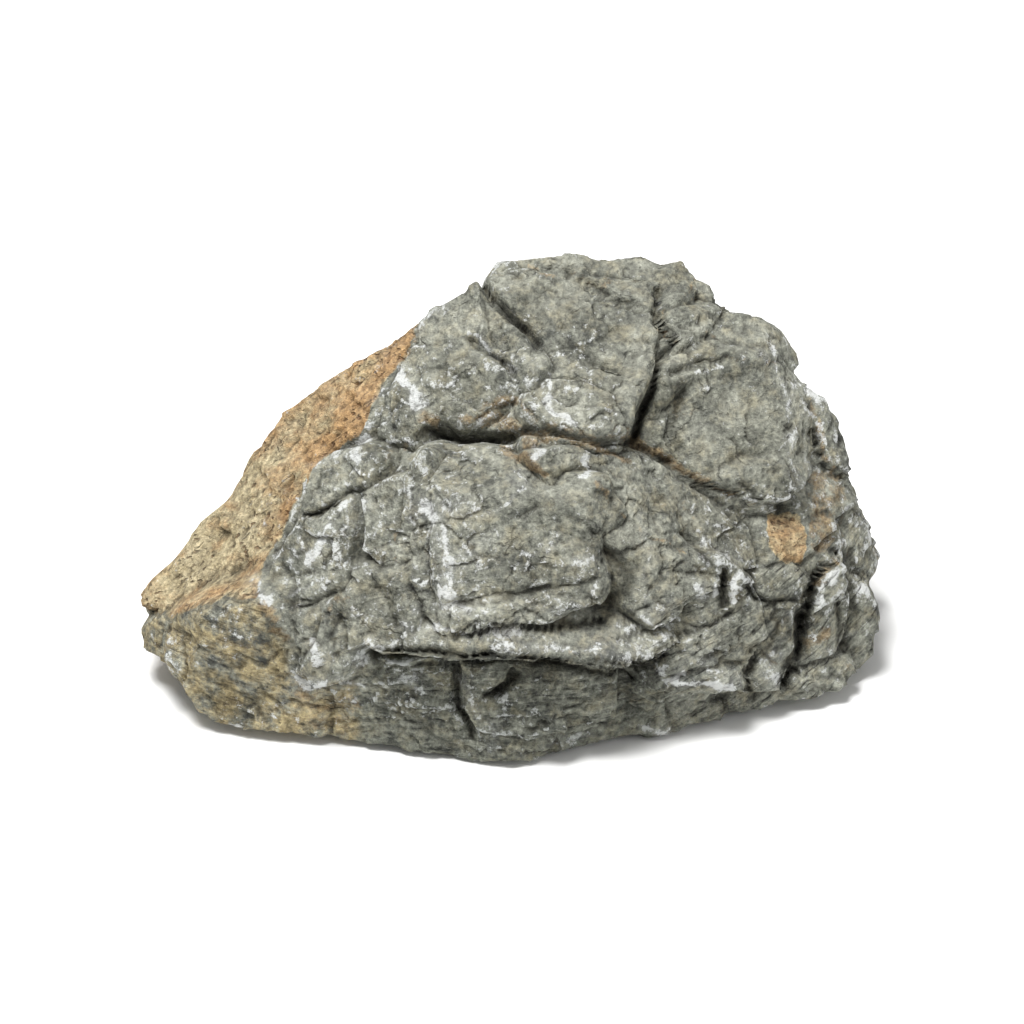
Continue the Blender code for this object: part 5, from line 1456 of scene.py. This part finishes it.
class StudioSetup(bpy.types.PropertyGroup):
    """The floor, the lights and the camera."""

    floor_colour: colour_property("Floor", "The floor's colour", (0.92, 0.92, 0.91))
    floor_size: FloatProperty(name="Floor size", description="Width of the floor", default=6.0,
                              min=1.0, unit="LENGTH")
    key_power: FloatProperty(name="Key light", description="Power of the soft light from above",
                             default=24.0, min=0.0, unit="POWER")
    fill_power: FloatProperty(name="Fill light", description="Power of the light from the right",
                              default=2.5, min=0.0, unit="POWER")
    sky: FloatProperty(name="Sky", description="Strength of the even light from all round",
                       default=0.40, min=0.0)
    distance: FloatProperty(name="Distance", description="From the camera to the rock", default=1.4,
                            min=0.5, unit="LENGTH")
    frame_width: FloatProperty(name="Frame width", description="Width of the view at the rock",
                               default=0.236, min=0.05, unit="LENGTH")


class OBJECT_OT_pagoda_rock(bpy.types.Operator):
    """Make the boulder with its ledges, cracks, pits and stone finish."""

    bl_idname = "object.pagoda_rock"
    bl_label = "Boulder"

    def execute(self, context):
        points, quads, values = rock_surface(context.scene.rock_shape.steps)
        rock = mesh_object("boulder", points, quads, values)
        rock.data.materials.append(limestone_material(context.scene.rock_finish))
        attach(rock, "root")
        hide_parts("rock")
        return {"FINISHED"}


class OBJECT_OT_rock_studio(bpy.types.Operator):
    """Make the floor, the lights, the sky and the camera."""

    bl_idname = "object.rock_studio"
    bl_label = "Studio"

    def execute(self, context):
        studio = context.scene.rock_studio
        add_floor(studio)
        add_lights(studio)
        add_sky(studio)
        add_camera(studio)
        return {"FINISHED"}


def add_floor(studio):
    """A flat square floor under the rock."""
    half = studio.floor_size / 2
    mesh = bpy.data.meshes.new("floor")
    corners = [(-half, -half, 0), (half, -half, 0), (half, half, 0), (-half, half, 0)]
    mesh.from_pydata(corners, [], [(0, 1, 2, 3)])
    mesh.materials.append(plain_material("floor paper", studio.floor_colour, 0.9))
    floor = bpy.data.objects.new("floor", mesh)
    bpy.context.scene.collection.objects.link(floor)


def add_light(name, place, size, power):
    """A square area light that faces the rock."""
    light = bpy.data.lights.new(name, "AREA")
    light.size = size
    light.energy = power
    lamp = bpy.data.objects.new(name, light)
    lamp.location = place
    lamp.rotation_euler = (Vector(LIGHT_TARGET) - Vector(place)).to_track_quat("-Z", "Y").to_euler()
    bpy.context.scene.collection.objects.link(lamp)


def add_lights(studio):
    """A soft light high on the left and in front, and a weaker one on the right."""
    add_light("key light", KEY_LIGHT_PLACE, KEY_LIGHT_SIZE, studio.key_power)
    add_light("fill light", FILL_LIGHT_PLACE, FILL_LIGHT_SIZE, studio.fill_power)


def add_sky(studio):
    """Even pale light from all round."""
    world = bpy.data.worlds.new("pale sky")
    world.use_nodes = True
    background = world.node_tree.nodes["Background"]
    background.inputs["Color"].default_value = (1.0, 1.0, 1.0, 1.0)
    background.inputs["Strength"].default_value = studio.sky
    bpy.context.scene.world = world


def add_camera(studio):
    """A long lens looking down on the rock's front at the front view's angle."""
    right, up, near = [Vector(axis) for axis in view_axes(0.0, FRONT_VIEW_ELEVATION)]
    target = right * (VIEW_CENTRE[0] * MM) + up * (VIEW_CENTRE[1] * MM) + near * (VIEW_CENTRE[2] * MM)
    data = bpy.data.cameras.new("camera")
    data.sensor_width = SENSOR_WIDTH
    data.lens = SENSOR_WIDTH * studio.distance / studio.frame_width
    data.clip_start = 0.05
    data.clip_end = 20.0
    camera = bpy.data.objects.new("camera", data)
    camera.location = target + near * studio.distance
    camera.rotation_euler = near.to_track_quat("Z", "Y").to_euler()
    bpy.context.scene.collection.objects.link(camera)
    bpy.context.scene.camera = camera
    bpy.context.scene.view_settings.view_transform = "Standard"


class VIEW3D_PT_pagoda_rock(bpy.types.Panel):
    """The sizes and colours of the rock and its studio."""

    bl_label = "Pagoda rock"
    bl_idname = "VIEW3D_PT_pagoda_rock"
    bl_space_type = "VIEW_3D"
    bl_region_type = "UI"
    bl_category = "Rock"

    def draw(self, context):
        scene = context.scene
        for group, operator in ((scene.rock_shape, "object.pagoda_rock"), (scene.rock_finish, None),
                                (scene.rock_studio, "object.rock_studio")):
            box = self.layout.box()
            for key in group.bl_rna.properties.keys():
                if key not in {"rna_type", "name"}:
                    box.prop(group, key)
            if operator:
                box.operator(operator)


CLASSES = (RockShape, RockFinish, StudioSetup, OBJECT_OT_pagoda_rock, OBJECT_OT_rock_studio,
           VIEW3D_PT_pagoda_rock)


def register():
    for item in CLASSES:
        bpy.utils.register_class(item)
    bpy.types.Scene.rock_shape = PointerProperty(type=RockShape)
    bpy.types.Scene.rock_finish = PointerProperty(type=RockFinish)
    bpy.types.Scene.rock_studio = PointerProperty(type=StudioSetup)


def unregister():
    del bpy.types.Scene.rock_studio
    del bpy.types.Scene.rock_finish
    del bpy.types.Scene.rock_shape
    for item in reversed(CLASSES):
        bpy.utils.unregister_class(item)


def main():
    register()
    bpy.ops.object.pagoda_rock()
    bpy.ops.object.rock_studio()


if __name__ == "__main__":
    main()
